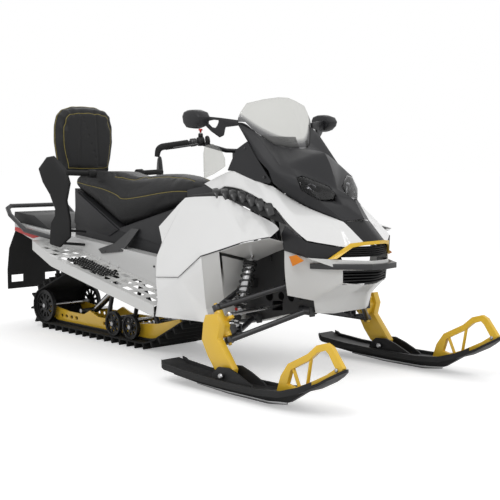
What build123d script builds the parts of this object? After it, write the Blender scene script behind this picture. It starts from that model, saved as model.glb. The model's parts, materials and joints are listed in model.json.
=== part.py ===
from build123d import *
import math
import os

# A two-up touring snowmobile, in millimetres: +X forward, +Y to the rider's left, +Z up.
# The origin is on the floor, midway between the ski tips and the snow flap.

# Overall layout
SKI_PIVOT_X = 914.0        # ski bolts, ahead of the origin
SKI_PIVOT_Z = 88.0
SKI_STANCE = 1080.0        # centre to centre
FLAP_BACK_X = -1612.0      # rearmost face of the snow flap

# Track and slide rails
TRACK_WIDTH = 381.0
BELT_THICKNESS = 7.0
LUG_HEIGHT = 32.0
LUG_THICKNESS = 9.0
LUG_COUNT = 48
REAR_AXLE_X = -1202.0
REAR_WHEEL_RADIUS = 99.0
BOGIE_WHEEL_RADIUS = 70.0
CARRIER_WHEEL_RADIUS = 60.0
DRIVE_AXLE_X = 186.0
DRIVE_AXLE_Z = 316.0
DRIVE_RADIUS = 88.0
RAIL_NOSE_RADIUS = 330.0
RAIL_NOSE_X = -235.0
CARRIER_X = -800.0
CARRIER_Z = 348.0
RAIL_SPREAD = 238.0        # between the rails' middle planes
RAIL_THICKNESS = 10.0
RAIL_HEIGHT = 88.0
WHEEL_WIDTH = 22.0
WHEEL_TRACK = 330.0        # between the outer wheels' middle planes
AXLE_RADIUS = 12.5
AXLE_BORE = 13.1           # corner radius of a bore with twelve flats
BOGIE_XS = (-489.0, -325.0)
FRONT_ARM_HEAD = (-330.0, 378.0)    # skid arms' bolts in the tunnel: X, Z
REAR_ARM_HEAD = (-560.0, 366.0)

# Tunnel and running boards
TUNNEL_HALF = 205.0
TUNNEL_WALL = 4.0
TUNNEL_FRONT_X = 332.0
TUNNEL_BACK_X = -1490.0
TUNNEL_TOP_FRONT_Z = 492.0
TUNNEL_TOP_BACK_Z = 640.0
BOARD_HALF = 440.0         # outer edge, from the middle plane
BOARD_THICKNESS = 5.0
BOARD_LIP = 58.0
BOARD_FRONT_X = 232.0
BOARD_BEND_X = -700.0
BOARD_BACK_X = -1190.0
BOARD_FRONT_Z = 316.0
BOARD_BEND_Z = 497.0
BOARD_BACK_Z = 548.0
BOARD_BACK_HALF = 262.0
BOARD_SLOTS = 13
BOARD_PITCH = 98.0

# Skis
SKI_FRONT = 686.0          # tip, ahead of the bolt
SKI_BACK = -424.0
SKI_WIDTH = 152.0
SKI_BASE_Z = 44.0
SKI_SHEET = 13.0
SKI_RIB = 15.0
SADDLE_GAP = 66.0
SADDLE_CHEEK = 10.0
LOOP_THICKNESS = 22.0
RUNNER_RADIUS = 6.0

# Steering
KING_LOW = (838.0, 478.0, 222.0)    # lower end of the king pin: X, outboard, Z
KING_HIGH = (755.0, 478.0, 362.0)
KING_TUBE_RADIUS = 20.0
KING_PIN_RADIUS = 8.0
RUNNING_GAP = 0.06                  # radial clearance of a pin in its bore
LEG_THICKNESS = 36.0
TIE_ARM = 64.0                      # king pin to the tie rod's eye
TIE_HEIGHT = 92.0                   # along the king pin
TIE_LENGTH = 400.0
STEER_LIMIT = 30.0                  # degrees either way, at the bars and at the skis
POST_TOP = (400.0, 0.0, 1060.0)
POST_FOOT = (664.0, 0.0, 600.0)
POST_RADIUS = 15.0
SHOCK_BODY_RADIUS = 22.0
BAR_RADIUS = 11.0
BAR_END = Vector(262, -385, 1100)    # right-hand end of the bar, and the inner end of its grip part
GRIP_JOIN = Vector(332, -238, 1124)
GRIP_RADIUS = 17.0
GRIP_LENGTH = 125.0

# Suspension arms
FRAME_HALF = 178.0                  # outer faces of the front frame's side plates
PIVOT_RADIUS = 17.0
LOWER_FRONT = (1046.0, FRAME_HALF + PIVOT_RADIUS, 350.0)
LOWER_BACK = (700.0, FRAME_HALF + PIVOT_RADIUS, 282.0)
UPPER_FRONT = (950.0, FRAME_HALF + PIVOT_RADIUS, 463.0)
UPPER_BACK = (670.0, FRAME_HALF + PIVOT_RADIUS, 450.0)
ARM_RADIUS = 13.0
SHOCK_TOP = (768.0, 262.0, 610.0)
SHOCK_FOOT = (792.0, 398.0, 279.0)
SPRING_RADIUS = 33.0

# Bodywork
CORE = (850.0, 0.0, 600.0)          # the middle of the engine bay
PANEL_WALL = 5.0
SEAM = 3.0
NOSE_TOP_HALF = 88.0                # half widths of the nose plate
NOSE_LOW_HALF = 73.0
ACCENT_DEPTH = 9.0
LAMP_FIT = 0.97
GRILLE_SLATS = 5
GRILLE_SLOPE = 0.95
LOWER_SLATS = 5
BUMPER_RADIUS = 14.0

# Seat and rear equipment
SEAT_HALF = 152.0
BACKREST_X = -1058.0              # middle of the hoop's tube
BACKREST_FOOT_X = -1010.0

DRIVE_RING = DRIVE_RADIUS + BELT_THICKNESS
os.makedirs("parts", exist_ok=True)


def polygon_face(points):
    """A flat face through points that already lie in one plane."""
    return Face(Wire.make_polygon([Vector(*p) for p in points], close=True))


def side_prism(points, y_from, y_to):
    """A side-view outline of (x, z) points, carried across from one y to another."""
    face = polygon_face([(x, y_from, z) for x, z in points])
    return extrude(face, amount=abs(y_to - y_from), dir=(0, math.copysign(1, y_to - y_from), 0))


def plan_prism(points, z_from, z_to):
    """A plan-view outline of (x, y) points, carried up from one z to another."""
    face = polygon_face([(x, y, z_from) for x, y in points])
    return extrude(face, amount=z_to - z_from, dir=(0, 0, 1))


def rod(start, end, radius):
    """A round bar between two points."""
    a, b = Vector(*start), Vector(*end)
    return Solid.make_cylinder(radius, (b - a).length, Plane(origin=a, z_dir=b - a))


def bent_tube(points, radius, bend, wall=0.0):
    """A tube along straight runs joined by tangent bends of one radius."""
    path = FilletPolyline(*[Vector(*p) for p in points], radius=bend)
    start = Plane(origin=path @ 0, z_dir=path % 0)
    outer = sweep(start * Circle(radius), path=path)
    if wall:
        return outer - sweep(start * Circle(radius - wall), path=path)
    return outer


def disc(x, z, radius, y_from, y_to):
    """A round disc standing across the machine."""
    return Solid.make_cylinder(radius, abs(y_to - y_from), Plane(origin=(x, min(y_from, y_to), z), z_dir=(0, 1, 0)))


def out(point, side):
    """A point given as X, outboard, Z, on the left (side 1) or right (side -1)."""
    return (point[0], side * point[1], point[2])


def left_of(shape):
    """The same shape on the left side."""
    return mirror(shape, about=Plane.XZ)


def pair(shape):
    """A right-hand shape and its left-hand twin, as separate solids of one node."""
    return Compound(children=[*solids_of(shape), *solids_of(left_of(shape))])


def solids_of(shape):
    return list(shape.solids())


def towards_core(point, wall):
    """The step from a point on the body's skin towards the middle of the engine bay."""
    return (Vector(*CORE) - point).normalized() * wall


def mesh_volume(triangles, outer, inner):
    """Signed room between the outer and inner corners, to tell which way the facets wind."""
    return sum((inner[a] - outer[a]).dot((outer[b] - outer[a]).cross(outer[c] - outer[a])) for a, b, c in triangles)


def folded_panel(corners, facets, inward):
    """A moulded panel: flat facets between named corners, given its wall by the inward step."""
    outer = {name: Vector(*p) for name, p in corners.items()}
    if inward is None:
        inner = {name: p + towards_core(p, PANEL_WALL) for name, p in outer.items()}
    else:
        inner = {name: p + Vector(*inward) for name, p in outer.items()}
    triangles = [(f[0], f[i], f[i + 1]) for f in facets for i in range(1, len(f) - 1)]
    if mesh_volume(triangles, outer, inner) > 0:
        triangles = [tuple(reversed(t)) for t in triangles]
    edges = {(t[i], t[(i + 1) % 3]) for t in triangles for i in range(3)}
    rim = [(a, b) for a, b in edges if (b, a) not in edges]
    faces = [Face(Wire.make_polygon([outer[n] for n in t], close=True)) for t in triangles]
    faces += [Face(Wire.make_polygon([inner[n] for n in reversed(t)], close=True)) for t in triangles]
    for a, b in rim:
        faces.append(Face(Wire.make_polygon([outer[b], outer[a], inner[a]], close=True)))
        faces.append(Face(Wire.make_polygon([outer[b], inner[a], inner[b]], close=True)))
    return Solid(Shell(faces))


def left_facet(facet):
    """The left-hand twin of a facet whose right-hand corners have names that start with r."""
    names = [n.replace("r", "l") if n[0] == "r" else n for n in facet]
    return (names[0], *reversed(names[1:]))


def trimmed(shape, *others):
    """The main piece of a shape once the pieces that it runs into are cut away."""
    for other in others:
        shape -= other
    return max(shape.solids(), key=lambda s: s.volume)


def save(node, shape):
    export_step(shape if isinstance(shape, Compound) else Compound(children=solids_of(shape)), f"parts/{node}.step")


# Track, wheels and rails

BELT_INNER_Z = LUG_HEIGHT + BELT_THICKNESS
REAR_AXLE_Z = BELT_INNER_Z + REAR_WHEEL_RADIUS
BOGIE_Z = BELT_INNER_Z + BOGIE_WHEEL_RADIUS


def belt_run(a, b):
    """Outward direction of the straight run from one round (x, z, radius) to the next."""
    gap = math.hypot(b[0] - a[0], b[1] - a[1])
    heading = math.atan2(b[1] - a[1], b[0] - a[0])
    return heading - math.acos((a[2] - b[2]) / gap)


def loop_wire(grow):
    """The track's path, pulled tight round its wheels and the rails' nose, grown outwards."""
    rounds = [
        (REAR_AXLE_X, REAR_AXLE_Z, REAR_WHEEL_RADIUS + grow),
        (RAIL_NOSE_X, BELT_INNER_Z + RAIL_NOSE_RADIUS, RAIL_NOSE_RADIUS + grow),
        (DRIVE_AXLE_X, DRIVE_AXLE_Z, DRIVE_RADIUS + grow),
        (CARRIER_X, CARRIER_Z, CARRIER_WHEEL_RADIUS + grow),
    ]
    runs = [belt_run(rounds[i], rounds[(i + 1) % 4]) for i in range(4)]
    edges = []
    for i, (x, z, r) in enumerate(rounds):
        arrive, leave = runs[i - 1], runs[i]
        turn = (leave - arrive) % (2 * math.pi)
        on = [(x + r * math.cos(arrive + turn * t), z + r * math.sin(arrive + turn * t)) for t in (0, 0.5, 1)]
        after = rounds[(i + 1) % 4]
        meet = (after[0] + after[2] * math.cos(leave), after[1] + after[2] * math.sin(leave))
        edges += [ThreePointArc(*on).edge(), Line(on[2], meet).edge()]
    return Wire(edges)


def across(face, width):
    """A face drawn in X and Z, given its width across the machine."""
    turned = Rot(90, 0, 0) * face
    return extrude(turned, amount=width / 2, dir=(0, 1, 0), both=True)


def build_track():
    belt = across(make_face(loop_wire(BELT_THICKNESS)) - make_face(loop_wire(0)), TRACK_WIDTH)
    path = loop_wire(BELT_THICKNESS)
    lugs = []
    for i in range(LUG_COUNT):
        at = path.position_at(i / LUG_COUNT)
        along = path.tangent_at(i / LUG_COUNT)
        outward = Vector(along.Y, -along.X, 0)
        foot, tip = along * LUG_THICKNESS, along * (LUG_THICKNESS / 2)
        base = at - outward * (BELT_THICKNESS / 2)
        top = at + outward * LUG_HEIGHT
        lugs.append(Face(Wire.make_polygon([base - foot, base + foot, top + tip, top - tip], close=True)))
    return belt + [across(lug, TRACK_WIDTH) for lug in lugs]


def many_sided(x, z, radius, sides, y_from, y_to):
    """A disc with flats instead of a round edge, standing across the machine."""
    turns = [2 * math.pi * i / sides for i in range(sides)]
    return side_prism([(x + radius * math.cos(t), z + radius * math.sin(t)) for t in turns], y_from, y_to)


def stay(start, end, radius, sides=8):
    """A bar with flats between two points."""
    a, b = Vector(*start), Vector(*end)
    seat = Plane(origin=a, z_dir=b - a)
    corners = [seat.from_local_coords(Vector(radius * math.cos(t), radius * math.sin(t), 0))
               for t in [2 * math.pi * (i + 0.5) / sides for i in range(sides)]]
    return extrude(Face(Wire.make_polygon(corners, close=True)), amount=(b - a).length, dir=tuple((b - a).normalized()))


def wheel(x, z, radius, y_mid, spokes):
    """A moulded idler wheel: a round rim, a thin web with a window between each pair of spokes, and a hub."""
    low, high = y_mid - WHEEL_WIDTH / 2, y_mid + WHEEL_WIDTH / 2
    rim = disc(x, z, radius, low, high) - many_sided(x, z, radius * 0.83, 24, low - 1, high + 1)
    web = many_sided(x, z, radius * 0.85, 24, y_mid - 4, y_mid + 4)
    made = rim + web + many_sided(x, z, radius * 0.3, 12, low, high)
    for i in range(spokes):
        mid, half = 2 * math.pi * i / spokes, math.pi / spokes
        corners = [(0.42, -0.4), (0.73, -0.62), (0.73, 0.62), (0.42, 0.4)]
        window = [(x + radius * r * math.cos(mid + half * t), z + radius * r * math.sin(mid + half * t)) for r, t in corners]
        made -= side_prism(window, low, high)
    return made - many_sided(x, z, AXLE_BORE, 12, low - 1, high + 1)


def wheel_set(x, z, radius, spokes):
    """The outer right-hand and left-hand wheels on one axle."""
    made = wheel(x, z, radius, -WHEEL_TRACK / 2, spokes)
    return solids_of(made) + solids_of(left_of(made))


def rail_outline():
    """Side view of a slide rail: straight on the ground run, then swept up inside the track's nose."""
    foot = BELT_INNER_Z + 14
    turn = math.radians(24)
    nose_r = RAIL_NOSE_RADIUS - 14
    nose_c = (RAIL_NOSE_X, BELT_INNER_Z + RAIL_NOSE_RADIUS)
    under = [(nose_c[0] + nose_r * math.sin(a), nose_c[1] - nose_r * math.cos(a)) for a in (0, turn / 3, turn * 2 / 3, turn)]
    end = (under[-1][0] + 190 * math.cos(turn), under[-1][1] + 190 * math.sin(turn))
    tip = (end[0] - 14, end[1] + 34)
    over = (under[-1][0] - 30, under[-1][1] + RAIL_HEIGHT * 0.72)
    return [(REAR_AXLE_X + 62, foot), *under, end, tip, over,
            (RAIL_NOSE_X - 90, foot + RAIL_HEIGHT * 0.8), (-700, foot + RAIL_HEIGHT * 0.72),
            (-790, foot + RAIL_HEIGHT * 1.05), (-850, foot + RAIL_HEIGHT * 0.72),
            (-1000, foot + RAIL_HEIGHT * 0.72), (REAR_AXLE_X - 18, foot + RAIL_HEIGHT * 0.98),
            (REAR_AXLE_X - 40, foot + RAIL_HEIGHT * 0.7), (REAR_AXLE_X - 10, foot + RAIL_HEIGHT * 0.25)]


def build_rails():
    y = -RAIL_SPREAD / 2
    rail = side_prism(rail_outline(), y - RAIL_THICKNESS / 2, y + RAIL_THICKNESS / 2)
    z = BELT_INNER_Z + 46
    for x in (-1090, -1040, -985, -930, -640, -585, -530, -420, -365):
        hole = [(x - 17, z), (x - 9, z + 10), (x + 9, z + 10), (x + 17, z), (x + 9, z - 10), (x - 9, z - 10)]
        rail -= side_prism(hole, y - 20, y + 20)
    rail -= many_sided(REAR_AXLE_X, REAR_AXLE_Z, AXLE_BORE, 12, y - 20, y + 20)
    for x in BOGIE_XS:
        rail -= many_sided(x, BOGIE_Z, AXLE_BORE, 12, y - 20, y + 20)
    return pair(rail)


def build_runners():
    """Low-friction strips under the rails."""
    y = -RAIL_SPREAD / 2
    top = BELT_INNER_Z + 14
    nose_c = (RAIL_NOSE_X, BELT_INNER_Z + RAIL_NOSE_RADIUS)
    low, high = RAIL_NOSE_RADIUS - 1, RAIL_NOSE_RADIUS - 14
    angles = [math.radians(a) for a in (0, 8, 16, 24)]
    under = [(nose_c[0] + low * math.sin(a), nose_c[1] - low * math.cos(a)) for a in angles]
    over = [(nose_c[0] + high * math.sin(a), nose_c[1] - high * math.cos(a)) for a in reversed(angles)]
    outline = [(REAR_AXLE_X + 80, BELT_INNER_Z + 1), *under, *over, (REAR_AXLE_X + 66, top)]
    return pair(side_prism(outline, y - 14, y + 14))


# Skid frame, axles and drive

def build_axles():
    """Axles of the rear idlers, the bogie wheels and the carrier wheels, with their end bolts."""
    places = [(REAR_AXLE_X, REAR_AXLE_Z), (CARRIER_X, CARRIER_Z)] + [(x, BOGIE_Z) for x in BOGIE_XS]
    return [many_sided(x, z, AXLE_RADIUS, 12, -182, 182) for x, z in places]


def build_carrier_wheels():
    made = [wheel(CARRIER_X, CARRIER_Z, CARRIER_WHEEL_RADIUS - 1, y, 7) for y in (-110, 110)]
    return [s for m in made for s in solids_of(m)]


def build_drive_axle():
    """The drive axle across the tunnel, with three drive wheels that reach the belt."""
    axle = many_sided(DRIVE_AXLE_X, DRIVE_AXLE_Z, 19, 12, -TUNNEL_HALF + TUNNEL_WALL, TUNNEL_HALF - TUNNEL_WALL)
    for y in (-120, 0, 120):
        axle += many_sided(DRIVE_AXLE_X, DRIVE_AXLE_Z, DRIVE_RADIUS - 0.2, 24, y - 14, y + 14)
    return axle


def skid_arm(foot, head, half):
    """A welded swing arm: two side tubes and two cross tubes, from the rails up into the tunnel."""
    made = stay((foot[0], -half, foot[1]), (head[0], -half, head[1]), 13, 12)
    made += stay((foot[0], half, foot[1]), (head[0], half, head[1]), 13, 12)
    made += many_sided(foot[0], foot[1], 16, 12, -half - 16, half + 16)
    return made + many_sided(head[0], head[1], 15, 12, -TUNNEL_HALF + TUNNEL_WALL, TUNNEL_HALF - TUNNEL_WALL)


def build_skid_arms():
    inner = (RAIL_SPREAD - RAIL_THICKNESS) / 2 - 16
    front = skid_arm((-150, 120), FRONT_ARM_HEAD, inner)
    rear = skid_arm((-640, 104), REAR_ARM_HEAD, inner)
    return [*solids_of(front), *solids_of(rear)]


def build_skid_shocks():
    """Centre and rear shocks of the skid frame, each on a cross shaft between the rails."""
    reach = (RAIL_SPREAD - RAIL_THICKNESS) / 2
    made = []
    for foot, head in (((-190, 144), FRONT_ARM_HEAD), ((-900, 130), REAR_ARM_HEAD)):
        body = stay((foot[0], 0, foot[1]), (head[0], 0, head[1]), 21, 12)
        made += solids_of(body + many_sided(foot[0], foot[1], 13, 12, -reach, reach))
    return made


# Tunnel and running boards

def board_z(x):
    """Height of the running board's walking surface at x."""
    if x > BOARD_BEND_X:
        return BOARD_BEND_Z + (BOARD_FRONT_Z - BOARD_BEND_Z) * (x - BOARD_BEND_X) / (BOARD_FRONT_X - BOARD_BEND_X)
    return BOARD_BACK_Z + (BOARD_BEND_Z - BOARD_BACK_Z) * (x - BOARD_BACK_X) / (BOARD_BEND_X - BOARD_BACK_X)


def tunnel_top(x):
    return TUNNEL_TOP_BACK_Z + (TUNNEL_TOP_FRONT_Z - TUNNEL_TOP_BACK_Z) * (x - TUNNEL_BACK_X) / (TUNNEL_FRONT_X - TUNNEL_BACK_X)


def build_tunnel():
    foot = [(TUNNEL_FRONT_X, board_z(TUNNEL_FRONT_X))]
    for x, z in (FRONT_ARM_HEAD, REAR_ARM_HEAD):
        foot += [(x + 75, board_z(x + 75)), (x + 26, z - 24), (x - 26, z - 24), (x - 75, board_z(x - 75))]
    foot += [(BOARD_BEND_X, BOARD_BEND_Z), (BOARD_BACK_X, BOARD_BACK_Z - 30), (TUNNEL_BACK_X, 596)]
    top = [(TUNNEL_BACK_X, TUNNEL_TOP_BACK_Z), (TUNNEL_FRONT_X, TUNNEL_TOP_FRONT_Z)]
    outer = side_prism(foot + top, -TUNNEL_HALF, TUNNEL_HALF)
    low = [(x, z - 80) for x, z in foot]
    high = [(x, z - TUNNEL_WALL) for x, z in top]
    low[0] = (TUNNEL_FRONT_X + 20, low[0][1])
    low[-1] = (TUNNEL_BACK_X - 20, low[-1][1])
    high[0] = (TUNNEL_BACK_X - 20, tunnel_top(TUNNEL_BACK_X - 20) - TUNNEL_WALL)
    high[1] = (TUNNEL_FRONT_X + 20, tunnel_top(TUNNEL_FRONT_X + 20) - TUNNEL_WALL)
    inner = TUNNEL_HALF - TUNNEL_WALL
    return outer - side_prism(low + high, -inner, inner)


def board_half(x):
    """Outer edge of the running board at x, which tapers behind the bend."""
    if x > BOARD_BEND_X:
        return BOARD_HALF
    return BOARD_HALF - (BOARD_BEND_X - x) * (BOARD_HALF - BOARD_BACK_HALF) / (BOARD_BEND_X - BOARD_BACK_X)


def build_running_board():
    """Right-hand running board: a sloping tread with a turned-down outer lip, tapering at the back."""
    xs = (BOARD_FRONT_X, BOARD_BEND_X, BOARD_BACK_X)
    side = [(x, board_z(x)) for x in xs]
    sheet = side_prism(side + [(x, z - BOARD_LIP) for x, z in reversed(side)], -BOARD_HALF, -TUNNEL_HALF)
    plan = [(BOARD_FRONT_X, -TUNNEL_HALF), (BOARD_FRONT_X, -BOARD_HALF), (BOARD_BEND_X, -BOARD_HALF),
            (BOARD_BACK_X, -BOARD_BACK_HALF), (BOARD_BACK_X, -TUNNEL_HALF)]
    sheet &= plan_prism(plan, 200, 700)
    lip = BOARD_THICKNESS
    hollow = [(BOARD_FRONT_X + 9, -TUNNEL_HALF + 9), (BOARD_FRONT_X + 9, -BOARD_HALF + lip), (BOARD_BEND_X, -BOARD_HALF + lip),
              (BOARD_BACK_X - 9, -BOARD_BACK_HALF + lip + 1), (BOARD_BACK_X - 9, -TUNNEL_HALF + 9)]
    under = [(x + dx, board_z(x) - BOARD_THICKNESS) for x, dx in zip(xs, (9, 0, -9))]
    core = side_prism(under + [(x, z - BOARD_LIP) for x, z in reversed(under)], -BOARD_HALF, -TUNNEL_HALF + 9)
    core &= plan_prism(hollow, 200, 700)
    sheet -= core
    for i in range(BOARD_SLOTS):
        x = BOARD_FRONT_X - 90 - BOARD_PITCH * i
        room = board_half(x) - TUNNEL_HALF - 60
        if x < BOARD_BACK_X + 60:
            continue
        rows = 3 if room > 150 else 2 if room > 80 else 1
        for j in range(rows):
            y = -TUNNEL_HALF - 44 - j * 68
            hole = [(x - 32, y - 21), (x + 32, y - 21), (x + 32, y + 21), (x - 32, y + 21)]
            sheet -= plan_prism(hole, board_z(x) - 24, board_z(x) + 24)
    return sheet


# Front frame, suspension arms and steering

def build_front_frame():
    """Plate frame ahead of the tunnel: side plates, cross plates, arm brackets and shock towers."""
    wall = 6
    outline = [(TUNNEL_FRONT_X, 262), (640, 245), (930, 325), (1092, 351.5), (1092, 390), (960, 500), (880, 642), (TUNNEL_FRONT_X, 600)]
    frame = side_prism(outline, -FRAME_HALF, FRAME_HALF) - side_prism(outline, -FRAME_HALF + wall, FRAME_HALF - wall)
    frame += side_prism([(TUNNEL_FRONT_X, 262), (TUNNEL_FRONT_X + wall, 262), (TUNNEL_FRONT_X + wall, 600), (TUNNEL_FRONT_X, 600)], -FRAME_HALF, FRAME_HALF)
    frame += side_prism([(1086, 352), (1092, 352), (1092, 390), (960, 500), (954, 500), (1086, 388)], -FRAME_HALF, FRAME_HALF)
    frame += side_prism([(640, 246), (640, 252), (930, 332), (1090, 358), (1090, 352), (930, 326)], -FRAME_HALF, FRAME_HALF)
    for x, z, r in ((1000, 420, 26), (935, 400, 20), (870, 400, 20), (790, 395, 26), (560, 330, 34), (480, 520, 40)):
        frame -= many_sided(x, z, r, 12, -FRAME_HALF - 1, FRAME_HALF + 1)
    frame -= side_prism([(812, 326), (880, 334), (880, 380), (812, 372)], -FRAME_HALF - 1, FRAME_HALF + 1)
    brackets = build_arm_brackets()
    return frame + build_post_bearing() + brackets + left_of(brackets)


def build_post_bearing():
    """Cross plate between the side plates, with the steering post's lower bearing."""
    axis = Vector(*POST_TOP) - Vector(*POST_FOOT)
    seat = Plane(origin=Vector(*POST_FOOT) + axis.normalized() * 8, z_dir=axis)
    bearing = Solid.make_cylinder(28, 34, seat)
    plate = side_prism([(600, 596), (730, 596), (730, 606), (600, 606)], -FRAME_HALF, FRAME_HALF)
    return plate + bearing - rod(POST_FOOT, POST_TOP, POST_RADIUS + RUNNING_GAP)


def build_arm_brackets():
    """Lugs that carry the arms' pivots, and the towers over the shocks, on the right-hand side plate."""
    x, y, z = SHOCK_TOP
    ear = [(x - 24, z - 12), (x + 24, z - 12), (x + 24, z + 22), (x - 24, z + 22)]
    roof = [(x - 40, z + 20), (x + 40, z + 20), (x + 40, z + 32), (x - 40, z + 32)]
    web = [(x - 40, z - 50), (x + 40, z - 50), (x + 40, z + 22), (x - 40, z + 22)]
    made = side_prism(roof, -FRAME_HALF + 6, -y - 25)
    made += side_prism(ear, -y + 15, -y + 22) + side_prism(ear, -y - 18, -y - 25)
    made += side_prism(web, -FRAME_HALF + 6, -FRAME_HALF - 8)
    for px, py, pz in (LOWER_FRONT, LOWER_BACK, UPPER_FRONT, UPPER_BACK):
        for x_lug in (px - 40, px + 34):
            made += Pos(x_lug, -FRAME_HALF - 30, pz) * Box(6, 32, 44, align=(Align.MIN, Align.MIN, Align.CENTER))
    return made


KING_AXIS = Vector(*out(KING_HIGH, -1)) - Vector(*out(KING_LOW, -1))
KING_REACH = KING_AXIS.length
STAY_SHARE = 0.24


def king_plane(along):
    """A plane square to the right-hand king pin, at a distance along it from the lower end."""
    unit = KING_AXIS.normalized()
    return Plane(origin=Vector(*out(KING_LOW, -1)) + unit * along, x_dir=(0, 1, 0), z_dir=unit)


def king_disc(radius, low, high):
    return Solid.make_cylinder(radius, high - low, king_plane(low))


def build_arm(end, front, back, low, high):
    """A right-hand A-arm: two tubes and a stay from lengthwise pivot bushes to the king pin's boss."""
    tip = out(end, -1)
    arm = stay(tip, out(front, -1), ARM_RADIUS, 12) + stay(tip, out(back, -1), ARM_RADIUS, 12)
    for p in (front, back):
        arm += stay((p[0] - 34, -p[1], p[2]), (p[0] + 34, -p[1], p[2]), PIVOT_RADIUS, 12)
    link = [[e + (p - e) * STAY_SHARE for e, p in zip(tip, out(q, -1))] for q in (front, back)]
    arm += stay(link[0], link[1], ARM_RADIUS - 3)
    arm += king_disc(KING_TUBE_RADIUS, low, high)
    for near, far in ((low - 60, low), (high, high + 60)):
        arm -= king_disc(KING_TUBE_RADIUS + 16, near, far)
    return arm - king_disc(KING_PIN_RADIUS + RUNNING_GAP, low - 30, high + 30)


def build_lower_arm():
    arm = build_arm(KING_LOW, LOWER_FRONT, LOWER_BACK, -13, 13)
    x, y, z = SHOCK_FOOT
    ear = [(x - 22, z - 44), (x + 22, z - 44), (x + 22, z + 6), (x - 22, z + 6)]
    arm += side_prism(ear, -y - 22, -y - 15) + side_prism(ear, -y + 15, -y + 22)
    return arm + side_prism([(x - 24, z - 48), (x + 30, z - 48), (x + 30, z - 40), (x - 24, z - 40)], -y - 22, -y + 22)


def king_plate(points, low, high):
    """A flat piece square to the king pin, drawn as (outboard, forward) from the pin."""
    base = king_plane(low)
    corners = [base.from_local_coords(Vector(-u, -v, 0)) for u, v in points]
    return extrude(Face(Wire.make_polygon(corners, close=True)), amount=high - low, dir=tuple(base.z_dir))


def eye_disc(radius, low, high):
    """A disc on the tie rod eye's axis, parallel to the king pin."""
    centre = king_plane(TIE_HEIGHT + low).from_local_coords(Vector(0, -TIE_ARM, 0))
    return Solid.make_cylinder(radius, high - low, Plane(origin=centre, z_dir=king_plane(0).z_dir))


def build_spindle():
    """Right-hand ski leg: king tube, forged leg, foot with the ski bolt's bore, and steering arm."""
    y = -SKI_STANCE / 2
    half = LEG_THICKNESS / 2
    outline = [(768, 340), (842, 352), (862, 300), (846, 240), (898, 178), (948, 116), (940, 76), (914, 62), (890, 72),
               (826, 104), (782, 156), (742, 222), (752, 300)]
    leg = side_prism(outline, y - half, y + half)
    neck = [(772, 326), (820, 334), (846, 292), (832, 250), (800, 226), (766, 252), (760, 300)]
    leg += side_prism(neck, y + half - 1, -KING_LOW[1])
    leg += king_disc(KING_TUBE_RADIUS + 2, 19, KING_REACH - 19)
    leg += king_plate([(-16, 0), (16, 0), (14, TIE_ARM), (-14, TIE_ARM)], TIE_HEIGHT - 12, TIE_HEIGHT) + eye_disc(16, -12, 0)
    leg -= king_disc(KING_TUBE_RADIUS + 8, -40, 19)
    leg -= king_disc(KING_TUBE_RADIUS + 8, KING_REACH - 19, KING_REACH + 60)
    leg -= eye_disc(20, 0, 40)
    leg += king_disc(KING_PIN_RADIUS, -22, KING_REACH + 22)
    leg += eye_disc(7, 0, 20)
    return leg - disc(SKI_PIVOT_X, SKI_PIVOT_Z, 8 + RUNNING_GAP, y - half - 1, y + half + 1)


def build_tie_rod():
    """Right-hand tie rod: an eye over the steering arm's stud and a rod in to the frame."""
    start = king_plane(TIE_HEIGHT + 8).from_local_coords(Vector(0, -TIE_ARM, 0))
    end = start + Vector(0, TIE_LENGTH, 14)
    made = eye_disc(14, 0.3, 16) + rod(tuple(start), tuple(end), 8)
    return made - eye_disc(7 + RUNNING_GAP, -5, 30)


def ski_line():
    """Side view of the ski's base, front to back, as (x, z) on its underside."""
    back, tip = SKI_PIVOT_X + SKI_BACK, SKI_PIVOT_X + SKI_FRONT
    return [(back, 86), (back + 45, 62), (back + 200, 50), (SKI_PIVOT_X, SKI_BASE_Z), (1160, SKI_BASE_Z + 2),
            (1290, SKI_BASE_Z + 14), (1400, SKI_BASE_Z + 48), (1500, SKI_BASE_Z + 96), (tip, SKI_BASE_Z + 158)]


def build_ski():
    """Right-hand ski: a dished sheet with edge ribs, a keel, and the saddle cheeks for the leg's foot."""
    y, half = -SKI_STANCE / 2, SKI_WIDTH / 2
    line = ski_line()
    tip, back = line[-1][0], line[0][0]
    sheet = side_prism(line + [(x, z + SKI_SHEET) for x, z in reversed(line)], y - half, y + half)
    for edge in (-1, 1):
        rib = side_prism([(x, z + 2) for x, z in line] + [(x, z + SKI_SHEET + SKI_RIB) for x, z in reversed(line)],
                         y + edge * half, y + edge * (half - 12))
        sheet += rib
    plan = [(back, y - half + 22), (back + 30, y - half), (tip - 190, y - half), (tip - 60, y - half + 26), (tip - 8, y - half + 56),
            (tip, y), (tip - 8, y + half - 56), (tip - 60, y + half - 26), (tip - 190, y + half), (back + 30, y + half), (back, y + half - 22)]
    sheet &= plan_prism(plan, 0, 400)
    keel = [(x, z - 30) for x, z in line[1:6]] + [(x, z + 3) for x, z in reversed(line[1:7])]
    sheet += side_prism(keel, y - 15, y + 15)
    cheek = [(832, 52), (846, 92), (880, 122), (948, 127), (1010, 108), (1095, 72), (1120, 52)]
    inner = SADDLE_GAP / 2
    for edge in (-1, 1):
        sheet += side_prism(cheek, y + edge * inner, y + edge * (inner + SADDLE_CHEEK))
    sheet += disc(SKI_PIVOT_X, SKI_PIVOT_Z, 8, y - inner - SADDLE_CHEEK - 12, y + inner + SADDLE_CHEEK + 12)
    return sheet


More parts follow.
